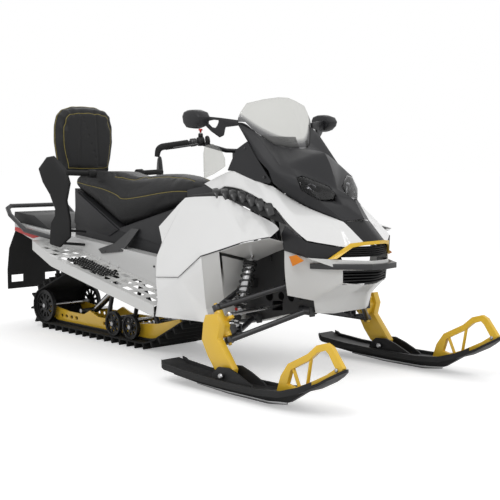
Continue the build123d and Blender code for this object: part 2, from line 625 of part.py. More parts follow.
def build_ski_loop():
    """Right-hand ski's front loop handle, standing on the ski's centre line."""
    y = -SKI_STANCE / 2
    outer = [(1214, 56), (1240, 134), (1282, 191), (1394, 248), (1444, 290), (1498, 306), (1528, 293), (1590, 216),
             (1578, 196), (1500, 156), (1400, 108), (1290, 72)]
    inner = [(1278, 104), (1300, 168), (1404, 222), (1452, 262), (1494, 276), (1512, 262), (1548, 210), (1500, 178), (1400, 128), (1320, 96)]
    loop = side_prism(outer, y - LOOP_THICKNESS / 2, y + LOOP_THICKNESS / 2)
    return loop - side_prism(inner, y - LOOP_THICKNESS, y + LOOP_THICKNESS)


def build_ski_runner():
    """Wear bar under the right-hand ski's keel, down to the floor."""
    y = -SKI_STANCE / 2
    line = ski_line()
    r = RUNNER_RADIUS
    side = [(line[2][0], 2 * r), (SKI_PIVOT_X, 0), (1160, 0), (1270, 14)]
    return side_prism(side + [(x, z + 2 * r) for x, z in reversed(side)], y - r, y + r)


def build_shock(radius_body):
    top, foot = out(SHOCK_TOP, -1), out(SHOCK_FOOT, -1)
    run = [f - t for t, f in zip(top, foot)]
    at = lambda share: [t + r * share for t, r in zip(top, run)]
    made = rod(at(0.12), at(0.55), radius_body) + stay(at(0.04), at(0.96), 9)
    for x, y, z in (top, foot):
        made += many_sided(x, z, 16, 12, y - 15, y + 15)
    return made


def build_spring():
    top, foot = out(SHOCK_TOP, -1), out(SHOCK_FOOT, -1)
    run = [f - t for t, f in zip(top, foot)]
    at = lambda share: [t + r * share for t, r in zip(top, run)]
    room = SHOCK_BODY_RADIUS / math.cos(math.pi / 12)
    return stay(at(0.16), at(0.74), SPRING_RADIUS, 16) - stay(at(0.1), at(0.9), room, 12)


def build_handlebar():
    post = rod(POST_FOOT, POST_TOP, POST_RADIUS)
    middle = Vector(GRIP_JOIN.X + 66, 0, GRIP_JOIN.Z - 44)
    bar = stay(BAR_END, GRIP_JOIN, BAR_RADIUS, 12) + stay(GRIP_JOIN, middle + Vector(-10, -92, 2), BAR_RADIUS, 12)
    bar += stay(middle + Vector(-10, -95, 2), middle, BAR_RADIUS, 12)
    return post + bar + left_of(bar) + Pos(404, 0, 1068) * Box(46, 84, 44)


def build_grips(bar):
    unit = (GRIP_JOIN - BAR_END).normalized()
    return pair(stay(BAR_END - unit * 6, BAR_END + unit * GRIP_LENGTH, GRIP_RADIUS, 16) - bar)


def build_hand_controls(bar):
    """Right-hand lever with its clamp on the bar."""
    unit = (GRIP_JOIN - BAR_END).normalized()
    near = BAR_END + unit * (GRIP_LENGTH + 8)
    clamp = stay(near, near + unit * 26, BAR_RADIUS + 9, 12)
    root = near + unit * 12 + Vector(12, 0, -4)
    knee = root + Vector(34, -12, -6)
    tip = BAR_END + unit * 18 + Vector(46, -4, -10)
    return clamp + stay(root, knee, 6, 6) + stay(knee, tip, 5, 6) - bar


# Seat and rear equipment

def build_seat():
    outline = [(140, 905), (60, 944), (-161, 965), (-530, 961), (-890, 966), (-925, 950), (-918, 874), (-459, 653), (110, 800), (128, 840)]
    return side_prism(outline, -SEAT_HALF, SEAT_HALF)


def build_seat_base():
    """Plastic base between the tunnel's top and the cushion."""
    xs = (-905, 170)
    low = [(x, tunnel_top(x) + 0.2) for x in xs]
    outline = [low[0], low[1], (150, 790), (110, 799), (-459, 652.5), (-905, 867)]
    return side_prism(outline, -138, 138)


def build_backrest():
    face = [(-190, 975), (190, 975), (218, 1150), (215, 1300), (178, 1352), (120, 1362), (-120, 1362), (-178, 1352), (-215, 1300), (-218, 1150)]
    flat = Face(Wire.make_polygon([Vector(-1045, y, z) for y, z in face], close=True))
    return extrude(flat, amount=88, dir=(1, 0, 0))


def build_backrest_frame():
    """Steel hoop that carries the backrest from the tunnel's top."""
    x, y, top = BACKREST_FOOT_X, 150, 1240
    z = tunnel_top(x) + 0.1
    back = BACKREST_X
    post = [(x, -y, z), (back, -y, 900), (back, -y, top)]
    hoop = stay(post[0], post[1], 13, 12) + stay(post[1], post[2], 13, 12)
    hoop += left_of(hoop) + stay((back, -y - 9, top), (back, y + 9, top), 13, 12)
    return hoop & Pos(x, 0, z + 0.1) * Box(400, 600, 900, align=(Align.CENTER, Align.CENTER, Align.MIN))


def build_deflector():
    """Right-hand passenger wind deflector: a padded blade, leaning outwards, on a tunnel bracket."""
    blade = [(-872, 1000), (-754, 1062), (-652, 1051), (-544, 969), (-537, 870), (-561, 732), (-704, 686), (-760, 865)]
    flat = Plane(origin=(-700, -400, 870), x_dir=(math.cos(math.radians(25)), -math.sin(math.radians(25)), 0), z_dir=(-math.sin(math.radians(25)), -math.cos(math.radians(25)), 0))
    points = [((x + 700), (z - 870)) for x, z in blade]
    turned = make_face(Polyline(*points, close=True))
    return extrude(flat * turned, amount=-26)


def build_deflector_bracket():
    plate = [(-895, 639), (-845, 531), (-824, 520), (-676, 598), (-700, 700), (-720, 905), (-760, 905), (-752, 722)]
    arm = side_prism(plate, -TUNNEL_HALF, -TUNNEL_HALF - 8)
    arm += stay((-735, -TUNNEL_HALF, 900), (-735, -392, 900), 14, 12)
    return arm


def build_grab_bar():
    """Right-hand passenger grab bar with its boss on the seat's side."""
    bar = stay((-680, -SEAT_HALF, 955), (-680, -400, 963), 15, 12)
    return bar + stay((-680, -SEAT_HALF, 955), (-680, -SEAT_HALF - 46, 956), 24, 12)


def build_rear_bumper():
    """Tube bumper from the tunnel's sides up and round the tail, with mitred corners."""
    half = TUNNEL_HALF + BUMPER_RADIUS
    right = [(-926, -half, 560), (-1328, -half - 8, 600), (-1500, -half - 12, 690), (-1545, -half - 2, 728), (-1560, -half + 30, 742)]
    path = right + [(x, -y, z) for x, y, z in reversed(right)]
    made = None
    for a, b in zip(path, path[1:]):
        reach = [(q - p) / math.dist(a, b) * BUMPER_RADIUS * 0.3 for p, q in zip(a, b)]
        run = stay([p - r for p, r in zip(a, reach)], [q + r for q, r in zip(b, reach)], BUMPER_RADIUS, 12)
        made = run if made is None else made + run
    return made


def build_tail_lamp():
    top = tunnel_top(-1400)
    outline = [(-1545, 652), (-1535, 706), (-1300, 690), (-1120, tunnel_top(-1120) + 0.2), (-1480, tunnel_top(-1480) + 0.2), (-1500, 644)]
    return side_prism(outline, -178, 178)


def build_snow_flap():
    hung = tunnel_top(-1478) - TUNNEL_WALL - 0.2
    outline = [(-1486, hung), (-1502, 590), (-1585, 470), (FLAP_BACK_X, 330), (FLAP_BACK_X, 205), (FLAP_BACK_X + 8, 205),
               (FLAP_BACK_X + 8, 330), (-1577, 468), (-1494, 588), (-1478, hung)]
    flap = side_prism(outline, -195, 195)
    for y in (-125, 125):
        hole = Pos(FLAP_BACK_X, y, 271) * Box(60, 88, 46)
        flap -= hole
    return flap


def build_reflectors():
    red = side_prism([(-1486, 590), (-1480, 612), (-1290, 606), (-1202, 585), (-1202, 566), (-1272, 552)], -TUNNEL_HALF, -TUNNEL_HALF - 5)
    return pair(red)


# Bodywork

def build_side_panel():
    """Right-hand knee panel: bulges out over the running board and folds in towards the nose."""
    w = -BOARD_HALF
    p = dict(a=(315, -300, 851), b=(595, -300, 865), c=(844, -300, 780), d=(945, -300, 753), e=(995, -320, 726),
             f=(1042, w + 20, 700), g=(882, w + 4, 668), h=(726, w, 622), i=(600, w, 587), j=(431, w, 471),
             k=(142, -330, 698), l=(187, -345, 620), m=(175, -370, 552), n=(201, w + 40, 449), o=(242, w + 20, 340), q=(236, w + 10, 259),
             r=(560, w + 15, 272), s=(640, w + 22, 270), t=(590, w + 40, 330))
    facets = [("a", "k", "l", "m"), ("a", "m", "n", "j", "i"), ("a", "i", "h", "b"), ("b", "h", "g", "c"), ("c", "g", "f", "e", "d"),
              ("n", "o", "j"), ("o", "q", "r", "j"), ("j", "r", "t", "i"), ("r", "s", "t")]
    return folded_panel(p, facets, (0, PANEL_WALL, 0))


def build_upper_panel():
    """Right-hand hood panel, from beside the console down to the nose."""
    p = dict(a=(405, -250, 918), b=(575, -242, 985), c=(622, -242, 983), d=(800, -238, 929), g=(855, -220, 914), h=(935, -188, 860),
             e=(1016, -156, 815), i=(1178, -NOSE_TOP_HALF, 758), j=(1279, -NOSE_LOW_HALF, 674), k=(1256, -125, 664), l=(1238, -140, 650),
             m=(1137, -285, 681), s=(1037, -300, 746), w=(523, -280, 885), v=(570, -270, 912), u=(699, -275, 905), t=(947, -290, 819),
             o=(1006, -268, 799), q=(1100, -218, 742), r=(1182, -118, 741))
    facets = [("a", "w", "v", "b"), ("b", "v", "u", "c"), ("c", "u", "t", "d"), ("d", "t", "o", "g"), ("g", "o", "h"), ("h", "o", "q", "e"),
              ("e", "q", "r", "i"), ("i", "r", "k", "j"), ("t", "s", "o"), ("o", "s", "m", "q"), ("q", "m", "l", "r"), ("r", "l", "k")]
    return folded_panel(p, facets, None)


def build_louvre():
    p = dict(a=(330, -288, 860), b=(520, -283, 880), c=(699, -277, 898), d=(944, -294, 812), e=(1020, -304, 748), f=(846, -300, 787), g=(596, -298, 871))
    return folded_panel(p, [("a", "g", "b"), ("b", "g", "c"), ("c", "g", "f", "d"), ("d", "f", "e")], (0, 8, 0))


def build_dark_band():
    """Dark band between the hood panel and the belly, with the nose's corner crease."""
    p = dict(a=(1020, -306, 742), b=(1137, -289, 676), c=(1236, -146, 645), d=(1187, -196, 600), e=(1134, -289, 608), f=(1010, -304, 633), g=(1000, -308, 705))
    return folded_panel(p, [("a", "g", "b"), ("g", "f", "e", "b"), ("b", "e", "d", "c")], None)


COWL = {
    "ra": (636, 246, 1212), "rb": (671, 222, 1212), "rc": (697, 192, 1172), "rd": (762, 119, 1106), "re": (804, 50, 1092),
    "rf": (721, 250, 1121), "rg": (772, 242, 1044), "rh": (844, 240, 991), "ri": (866, 230, 930), "rj": (729, 217, 1168), "rk": (885, 202, 1010),
    "rl": (912, 178, 1012), "rm": (985, 95, 964), "rn": (1040, 28, 916), "ro": (979, 192, 957), "rp": (978, 152, 965), "rq": (1047, 40, 913),
    "rs": (1081, 32, 875), "rt": (1083, 40, 845), "ru": (1066, 132, 850), "rv": (1012, 196, 899), "rw": (935, 184, 864), "rx": (1014, 152, 819),
    "ry": (1174, 86, 763), "rz": (1200, 34, 766), "r1": (1134, 37, 824),
}
COWL_MIDDLE = {"a": (812, 0, 1091), "b": (980, 0, 1071), "c": (1017, 0, 1013), "d": (1038, 0, 952), "e": (1054, 0, 903), "f": (1128, 0, 872),
               "g": (1166, 0, 852), "h": (1222, 0, 769)}
LAMP_RIM = ("ro", "rp", "rq", "rs", "rt", "ru", "rv")


def build_cowl():
    """Cowl: flared shoulders beside the screen, a ridged hood, brows over the lamps and a prow below them."""
    p = dict(COWL_MIDDLE)
    for name, (x, y, z) in COWL.items():
        p[name] = (x, -y, z)
        p["l" + name[1:]] = (x, y, z)
    right = [("ra", "rf", "rg", "rh", "rk", "rj"), ("ra", "rj", "rc", "rb"), ("rj", "rk", "rd", "rc"), ("rd", "rk", "rl"), ("re", "rd", "rl", "b", "a"),
             ("b", "rl", "rm", "c"), ("c", "rm", "rn", "d"), ("d", "rn", "e"), ("rk", "rh", "ro", "rl"), ("rl", "ro", "rp"), ("rl", "rp", "rm"),
             ("rm", "rp", "rq", "rn"), ("rn", "rq", "rs", "e"), ("e", "rs", "f"), ("rh", "ri", "rv", "ro"), ("ri", "rw", "rv"), ("rw", "rx", "rv"),
             ("rv", "rx", "ru"), ("rx", "ry", "ru"), ("ru", "ry", "r1", "rt"), ("ry", "rz", "r1"), ("rs", "rt", "r1", "g", "f"), ("r1", "rz", "h", "g")]
    left = [left_facet(f) for f in right]
    return folded_panel(p, right + left, None)


def build_nose_panel():
    """Black plate between the hood panels, under the prow."""
    p = {"m": (1215, 0, 765), "n": (1306, 0, 676)}
    for side, y in (("r", -1), ("l", 1)):
        p[side + "a"] = (1178, (NOSE_TOP_HALF - SEAM) * y, 756)
        p[side + "b"] = (1205, 34 * y, 761)
        p[side + "c"] = (1279, (NOSE_LOW_HALF - SEAM) * y, 673)
        p[side + "d"] = (1296, 34 * y, 675)
    right = [("ra", "rb", "rd", "rc"), ("rb", "m", "n", "rd")]
    left = [left_facet(f) for f in right]
    return folded_panel(p, right + left, (-PANEL_WALL, 0, -2))


def build_windshield():
    """Tall touring screen, seated along the cowl's front edge."""
    p = {"m": (700, 0, 1334), "n": (813, 0, 1095)}
    for side, y in (("r", -1), ("l", 1)):
        p[side + "a"] = (644, 246 * y, 1226)
        p[side + "b"] = (648, 195 * y, 1300)
        p[side + "c"] = (672, 112 * y, 1320)
        p[side + "d"] = (697, 32 * y, 1333)
        p[side + "e"] = (673, 222 * y, 1216)
        p[side + "f"] = (699, 192 * y, 1176)
        p[side + "g"] = (764, 119 * y, 1110)
        p[side + "h"] = (806, 50 * y, 1096)
    right = [("ra", "re", "rf", "rb"), ("rb", "rf", "rg", "rc"), ("rc", "rg", "rh", "rd"), ("rd", "rh", "n", "m")]
    left = [left_facet(f) for f in right]
    return folded_panel(p, right + left, (-PANEL_WALL, 0, -1))


def build_dash():
    outline = [(150, 800), (150, 880), (300, 905), (420, 925), (560, 1000), (620, 1150), (640, 1150), (700, 1030), (560, 860), (420, 800)]
    return side_prism(outline, -150, 150) - rod(POST_FOOT, POST_TOP, POST_RADIUS + 7)


def build_headlight():
    """Right-hand headlight's lens and bowl, set in the cowl's opening."""
    rim = [COWL[name] for name in LAMP_RIM]
    centre = [sum(q[i] for q in rim) / len(rim) for i in range(3)]
    shrunk = {str(i): tuple(c + (v - c) * LAMP_FIT for c, v in zip(centre, q)) for i, q in enumerate(rim)}
    outer = {n: (x, -y, z) for n, (x, y, z) in shrunk.items()}
    return folded_panel(outer, [tuple(outer)], (-18, 9, -8))


def build_belly_pan():
    """Belly pan: a floor under the front frame, side walls ahead of the arms, a ledge and a keel."""
    wall = PANEL_WALL
    floor = [(560, 240), (640, 240), (930, 320), (1096, 346)]
    pan = side_prism(floor + [(x, z + wall) for x, z in reversed(floor)], -FRAME_HALF, FRAME_HALF)
    p = {"m": (1322, 0, 590), "n": (1330, 0, 548), "o": (1262, 0, 476), "q": (1188, 0, 428), "s": (1146, 0, 344), "w": (1084, 0, 340)}
    for side, y in (("r", -1), ("l", 1)):
        p[side + "a"] = (1012, 300 * y, 630)
        p[side + "b"] = (1134, 285 * y, 605)
        p[side + "c"] = (1194, 195 * y, 597)
        p[side + "d"] = (1314, 62 * y, 589)
        p[side + "e"] = (1320, 60 * y, 549)
        p[side + "f"] = (1231, 153 * y, 548)
        p[side + "g"] = (1228, 149 * y, 490)
        p[side + "h"] = (1259, 46 * y, 477)
        p[side + "i"] = (1012, 300 * y, 533)
        p[side + "j"] = (1000, 268 * y, 424)
        p[side + "k"] = (1100, 200 * y, 404)
        p[side + "t"] = (1096, 184 * y, 344)
        p[side + "u"] = (1142, 108 * y, 341)
        p[side + "v"] = (1184, 80 * y, 424)
    right = [("ra", "ri", "rf", "rb"), ("rb", "rf", "rc"), ("rc", "rf", "re", "rd"), ("rd", "re", "n", "m"),
             ("ri", "rj", "rk", "rf"), ("rk", "rg", "rf"), ("rk", "rt", "ru", "rv"), ("rk", "rv", "rg"), ("rg", "rv", "rh"),
             ("rh", "rv", "q", "o"), ("rv", "ru", "s", "q"), ("rt", "w", "s", "ru")]
    left = [left_facet(f) for f in right]
    return pan + folded_panel(p, right + left, None)


NOSE_PLAN = ((1190, -197), (1256, -127), (1281, -73), (1304, 0))


def nose_strip(front, back, z_from, z_to):
    """A strip that follows the nose's plan from side to side, between two offsets ahead of it."""
    right = [(x, y) for x, y in NOSE_PLAN]
    line = right + [(x, -y) for x, y in reversed(right[:-1])]
    return plan_prism([(x + front, y) for x, y in line] + [(x + back, y) for x, y in reversed(line)], z_from, z_to)


def build_yellow_accent():
    """Accent moulding: along the nose's lower edge, then down beside the grille."""
    p = {"m": (1312, 0, 677), "n": (1312, 0, 662)}
    for side, y in (("r", -1), ("l", 1)):
        p[side + "a"] = (1194, 201 * y, 598)
        p[side + "b"] = (1262, 129 * y, 668)
        p[side + "c"] = (1286, 75 * y, 673)
        p[side + "d"] = (1222, 184 * y, 600)
        p[side + "e"] = (1263, 124 * y, 650)
        p[side + "f"] = (1286, 74 * y, 658)
    right = [("ra", "rb", "re", "rd"), ("rb", "rc", "rf", "re"), ("rc", "m", "n", "rf")]
    left = [left_facet(f) for f in right]
    return folded_panel(p, right + left, (-ACCENT_DEPTH, 0, 0))


def build_front_bumper():
    """Front bumper: a blade that stands out from the nose, with a gap behind it at each side."""
    outer = [(1112, -240), (1182, -206), (1343, -84), (1356, 0), (1343, 84), (1182, 206), (1112, 240)]
    inner = [(1112, 222), (1170, 186), (1322, 62), (1332, 0), (1322, -62), (1170, -186), (1112, -222)]
    return plan_prism(outer + inner, 552, 577)


def build_nose_grille():
    """Slatted grille under the accent: a back wall and slats that follow the nose in plan."""
    grille = nose_strip(-36, -40, 603, 650)
    for i in range(GRILLE_SLATS):
        z = 605 + 9 * i
        reach = GRILLE_SLOPE * (z - 603)
        slat = nose_strip(-12, -38, z, z + 4)
        grille += slat & Pos(1200, 0, z) * Box(300, 2 * (186 - reach), 20)
    return grille


def build_lower_grille():
    """Lower intake grille, raked back at its foot, with slats across its front."""
    top = [(1227, -150), (1303, -40), (1316, 0), (1303, 40), (1227, 150), (1180, 150), (1180, -150)]
    low = [(1224, -146), (1257, -44), (1264, 0), (1257, 44), (1224, 146), (1180, 146), (1180, -146)]
    made = None
    for i in range(LOWER_SLATS):
        share = i / (LOWER_SLATS - 1)
        z = 482 + 56 * share
        outline = [(b[0] + (t[0] - b[0]) * share, b[1] + (t[1] - b[1]) * share) for b, t in zip(low, top)]
        slat = plan_prism(outline, z, z + 5)
        made = slat if made is None else made + slat
    return made + Pos(1188, 0, 482) * Box(10, 280, 60, align=(Align.MIN, Align.CENTER, Align.MIN))


def build_side_reflector():
    """Orange side reflector, set on the belly pan's side wall."""
    points = [(1047, -303.5, 607), (1092, -303.5, 617), (1138, -303.5, 594), (1070, -303.5, 565)]
    return extrude(polygon_face(points), amount=4, dir=(0, -1, 0))


def build_side_deflector():
    """Right-hand clear knee deflector, standing on the hood panel beside the console."""
    outline = [(470, 948), (560, 985), (585, 1010), (560, 1058), (500, 1082), (430, 1060), (440, 990)]
    return side_prism(outline, -256, -260)


def build_seat_side():
    """Right-hand cover between the seat and the running board, with its bracket."""
    outline = [(-905, 660), (-560, 600), (-470, 640), (60, 560), (150, 590), (150, 770), (110, 790), (-459, 640), (-880, 850)]
    return side_prism([(x, max(z, tunnel_top(x) + 1)) for x, z in outline], -140, -146)


def build_engine():
    return Pos(620, 0, 430) * Box(260, 2 * (FRAME_HALF - 6), 250)


def build_mirror():
    """Right-hand mirror: a shell on a windowed arm that leaves the cowl's shoulder."""
    head = [(495, 1250), (520, 1180), (600, 1186), (636, 1230), (610, 1262), (540, 1269)]
    made = side_prism(head, -402, -478)
    root, end = (648, -250), (585, -404)
    along = Vector(end[0] - root[0], end[1] - root[1], 0)
    blade = [(0, 1216), (0, 1120), (0.35, 1150), (1, 1196), (1, 1232)]
    hole = [(0.16, 1188), (0.16, 1158), (0.72, 1198)]
    flat = lambda pts: Face(Wire.make_polygon([Vector(root[0], root[1], 0) + along * s + Vector(0, 0, z) for s, z in pts], close=True))
    across = Vector(-along.Y, along.X, 0).normalized()
    plate = extrude(flat(blade), amount=12, dir=tuple(across)) - extrude(flat(hole), amount=12, dir=tuple(across))
    return made + plate


def build_upper_frame():
    """Bar pyramid over the front frame, with the stays that carry the dash, the screen and the body panels."""
    y = FRAME_HALF - 3
    made = stay((700, -y, 612), (600, -120, 860), 11)
    made += stay((600, -120, 850), (600, 0, 850), 11) + stay((600, -60, 850), (596, -60, 990), 8, 6)
    made += stay((860, -y, 628), (760, -130, 880), 11) + stay((760, -130, 870), (600, -120, 850), 11)
    made += stay((760, -130, 870), (735, -130, 1130), 7, 6) + stay((748, -130, 1000), (700, -235, 1120), 6, 6)
    made += stay((860, -y, 628), (820, -262, 860), 6, 6) + stay((860, -y, 628), (820, -300, 800), 6, 6)
    made += stay((640, -y, 614), (560, -BOARD_HALF, 700), 7, 6)
    made += stay((400, -y, 596), (300, -400, 620), 7, 6)
    made += stay((700, -y, 612), (400, -y, 596), 8, 6) + stay((860, -y, 628), (700, -y, 612), 8, 6)
    made += stay((860, -y, 628), (1120, -300, 660), 8, 6) + stay((1010, -222, 640), (1240, -70, 700), 7, 6)
    made += stay((1010, -222, 640), (1000, -200, 860), 6, 6) + stay((1010, -222, 640), (1200, -150, 560), 6, 6)
    return made + left_of(made)


if __name__ == "__main__":
    idlers = wheel_set(REAR_AXLE_X, REAR_AXLE_Z, REAR_WHEEL_RADIUS, 11) + build_carrier_wheels()
    idlers += [s for x in BOGIE_XS for s in wheel_set(x, BOGIE_Z, BOGIE_WHEEL_RADIUS, 8)]
    save("track", build_track())
    save("idler_wheels", Compound(children=idlers))
    save("skid_axles", Compound(children=build_axles()))
    save("drive_axle", build_drive_axle())
    save("slide_rails", build_rails())
    save("rail_runners", build_runners())
    arms = Compound(children=build_skid_arms())
    save("skid_arms", arms)
    save("skid_shocks", Compound(children=build_skid_shocks()) - arms)
    tunnel = build_tunnel()
    save("tunnel", tunnel)
    save("running_boards", pair(build_running_board()))
    frame = build_front_frame()
    save("front_frame", frame)
    save("lower_arms", pair(build_lower_arm()))
    save("upper_arms", pair(build_arm(KING_HIGH, UPPER_FRONT, UPPER_BACK, KING_REACH - 13, KING_REACH + 13)))
    save("front_shocks", pair(build_shock(SHOCK_BODY_RADIUS)))
    save("shock_springs", pair(build_spring()))
    ski = build_ski()
    for side, turn in (("right", lambda s: s), ("left", left_of)):
        save(f"spindle_{side}", turn(build_spindle()))
        save(f"tie_rod_{side}", turn(build_tie_rod()))
        save(f"ski_{side}", turn(ski))
        save(f"ski_loop_{side}", turn(build_ski_loop() - ski))
        save(f"ski_runner_{side}", turn(build_ski_runner() - ski))
    bar = build_handlebar()
    save("handlebar", bar)
    save("grips", build_grips(bar))
    save("hand_controls", pair(trimmed(build_hand_controls(bar), bar)))
    seat, base = build_seat(), build_seat_base()
    save("seat", seat)
    save("seat_base", base)
    save("seat_side_covers", pair(build_seat_side() - base))
    save("backrest", build_backrest())
    save("backrest_frame", build_backrest_frame() - tunnel)
    deflector = build_deflector()
    save("passenger_deflectors", pair(deflector))
    save("deflector_brackets", pair(trimmed(build_deflector_bracket(), deflector)))
    save("grab_bars", pair(build_grab_bar() - deflector - seat))
    save("rear_bumper", build_rear_bumper())
    save("tail_lamp_housing", build_tail_lamp())
    save("snow_flap", build_snow_flap())
    save("rear_reflectors", build_reflectors())
    upper, band, side_panel, louvre = build_upper_panel(), build_dark_band(), build_side_panel(), build_louvre()
    nose, cowl, windshield, dash = build_nose_panel(), build_cowl(), build_windshield(), build_dash()
    lamp, belly, bumper = build_headlight() - cowl, build_belly_pan() - frame, build_front_bumper()
    pairs = [pair(shape) for shape in (upper, band, side_panel, louvre, lamp)]
    accent = trimmed(build_yellow_accent(), nose, belly, *pairs)
    grille = trimmed(build_nose_grille(), accent, nose, belly, *pairs)
    low_grille = build_lower_grille() - belly
    save("side_panels", pair(side_panel))
    save("upper_panels", pair(upper))
    save("louvres", pair(louvre))
    save("lower_side_bands", pair(band))
    save("cowl", cowl)
    save("nose_panel", nose)
    save("windshield", windshield)
    save("dash_console", dash)
    save("headlights", pair(lamp))
    save("belly_pan", belly)
    save("nose_accent", accent)
    save("nose_grille", grille)
    save("lower_grille", low_grille)
    save("side_reflectors", pair(build_side_reflector() - belly))
    save("front_bumper", bumper - belly)
    save("engine_block", build_engine())
    save("side_deflectors", pair(build_side_deflector() - pair(upper)))
    save("mirrors", pair(trimmed(build_mirror(), windshield, cowl)))
    skins = [nose, cowl, windshield, dash, accent, frame, belly, grille]
    save("upper_frame", trimmed(build_upper_frame(), *pairs, *skins))
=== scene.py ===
import json
import math

import bmesh
import bpy
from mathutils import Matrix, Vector
from mathutils.kdtree import KDTree


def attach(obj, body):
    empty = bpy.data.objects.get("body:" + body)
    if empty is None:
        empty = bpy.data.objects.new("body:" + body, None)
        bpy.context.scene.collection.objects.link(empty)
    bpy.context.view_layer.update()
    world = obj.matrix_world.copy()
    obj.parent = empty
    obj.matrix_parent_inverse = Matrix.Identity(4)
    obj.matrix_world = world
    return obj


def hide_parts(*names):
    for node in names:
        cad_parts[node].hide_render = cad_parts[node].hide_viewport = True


bl_info = {
    "name": "Touring Snowmobile",
    "version": (1, 0, 0),
    "blender": (4, 5, 0),
    "location": "View3D > Sidebar > Sled",
    "description": "Dresses the packed frame of a two-up touring snowmobile",
    "category": "Object",
}

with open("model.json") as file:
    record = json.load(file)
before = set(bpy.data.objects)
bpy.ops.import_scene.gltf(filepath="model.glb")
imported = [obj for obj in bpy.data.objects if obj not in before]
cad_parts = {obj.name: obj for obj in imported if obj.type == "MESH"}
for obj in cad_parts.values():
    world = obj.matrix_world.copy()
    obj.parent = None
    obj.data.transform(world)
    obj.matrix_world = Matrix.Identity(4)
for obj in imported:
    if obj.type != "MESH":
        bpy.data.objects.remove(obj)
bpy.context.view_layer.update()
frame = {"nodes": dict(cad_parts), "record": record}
MATERIALS = {}
TREES = {}

GEOMETRY = ("Geometry", "NodeSocketGeometry", None)
FINISH = ("Finish", "NodeSocketMaterial", None)

UP = (0, 0, 1)
# Distances in metres and angles in degrees that the shapes share
MERGE = 1e-5
WELD = 2e-5
EASE = 0.0012
STYLE_LINE = 16
SHARP_RIM = 60
SHEET_WALL = 0.003

# Cloth of the padded pieces
VOXEL = 0.006
CLOTH_PRESSURE = 4.0
CLOTH_FRAMES = 20

# Nodes whose edges stay as they are, and nodes that a softer piece replaces
PLAIN_EDGES = ("track", "idler_wheels", "tunnel", "running_boards", "front_frame", "skid_axles", "drive_axle")
REMADE = (
    "seat", "backrest", "cowl", "upper_panels", "side_panels", "belly_pan", "mirrors", "passenger_deflectors",
)


# Node trees

def feed(tree, node, ends):
    """Sets each named input of a node to a value, or links it from an output."""
    for end, value in ends.items():
        if isinstance(value, bpy.types.NodeSocket):
            tree.links.new(value, node.inputs[end])
        else:
            node.inputs[end].default_value = value


def wired(tree, kind, ends=None, **settings):
    """A new node with its settings and its inputs."""
    node = tree.nodes.new(kind)
    for name, value in settings.items():
        setattr(node, name, value)
    feed(tree, node, ends or {})
    return node


def group_tree(name, inputs, outputs, kind="ShaderNodeTree"):
    """An empty node group with named sockets, and its two end nodes."""
    tree = bpy.data.node_groups.new(name, kind)
    for label, socket_type, default in inputs:
        socket = tree.interface.new_socket(label, in_out="INPUT", socket_type=socket_type)
        if default is not None:
            socket.default_value = default
    for label, socket_type in outputs:
        tree.interface.new_socket(label, in_out="OUTPUT", socket_type=socket_type)
    return tree, tree.nodes.new("NodeGroupInput"), tree.nodes.new("NodeGroupOutput")


def grouped(tree, name, ends):
    """A shader node group placed in a material with its own values."""
    return wired(tree, "ShaderNodeGroup", ends, node_tree=bpy.data.node_groups[name])


def mixed(tree, share, first, second):
    """A colour between two colours."""
    return wired(tree, "ShaderNodeMix", {0: share, 6: first, 7: second}, data_type="RGBA").outputs[2]


def ranged(tree, value, low, high, start=0.0, end=1.0):
    """A value carried from one range to another."""
    ends = {"Value": value, "From Min": start, "From Max": end, "To Min": low, "To Max": high}
    return wired(tree, "ShaderNodeMapRange", ends).outputs["Result"]


def worked(tree, operation, *terms):
    """The result of one operation on values."""
    return wired(tree, "ShaderNodeMath", dict(enumerate(terms)), operation=operation).outputs[0]


def object_coordinates(tree, scale=(1, 1, 1)):
    """The piece's own coordinates, stretched for a pattern."""
    place = tree.nodes.new("ShaderNodeTexCoord")
    ends = {"Vector": place.outputs["Object"], "Scale": scale}
    return wired(tree, "ShaderNodeMapping", ends).outputs["Vector"]


# Materials

def moulded_grain():
    """Fine pebbled texture of a moulded surface: a height and a slow mottle."""
    tree, given, result = group_tree(
        "Moulded Grain",
        [("Vector", "NodeSocketVector", None), ("Grain Size", "NodeSocketFloat", 600.0),
            ("Mottle Size", "NodeSocketFloat", 6.0)],
        [("Height", "NodeSocketFloat"), ("Mottle", "NodeSocketFloat")],
    )
    place, fine, slow = (given.outputs[name] for name in ("Vector", "Grain Size", "Mottle Size"))
    cells = wired(tree, "ShaderNodeTexVoronoi", {"Vector": place, "Scale": fine}, feature="SMOOTH_F1")
    noise = wired(tree, "ShaderNodeTexNoise", {"Vector": place, "Scale": fine, "Detail": 3.0})
    drift = wired(tree, "ShaderNodeTexNoise", {"Vector": place, "Scale": slow, "Detail": 4.0})
    height = worked(tree, "ADD", cells.outputs["Distance"], noise.outputs["Fac"])
    feed(tree, result, {"Height": height, "Mottle": drift.outputs["Fac"]})


def settled_dust():
    """Where snow dust and road film settle: faces that look up, broken by noise."""
    tree, given, result = group_tree(
        "Settled Dust",
        [("Vector", "NodeSocketVector", None), ("Amount", "NodeSocketFloat", 0.2),
            ("Patch Size", "NodeSocketFloat", 9.0)],
        [("Mask", "NodeSocketFloat")],
    )
    facing = tree.nodes.new("ShaderNodeNewGeometry")
    split = wired(tree, "ShaderNodeSeparateXYZ", {0: facing.outputs["Normal"]})
    place = {"Vector": given.outputs["Vector"], "Scale": given.outputs["Patch Size"]}
    noise = wired(tree, "ShaderNodeTexNoise", {**place, "Detail": 6.0, "Roughness": 0.65})
    upward = ranged(tree, split.outputs["Z"], 0.0, 1.0, start=0.2)
    patches = worked(tree, "MULTIPLY", upward, noise.outputs["Fac"])
    feed(tree, result, {"Mask": worked(tree, "MULTIPLY", patches, given.outputs["Amount"])})


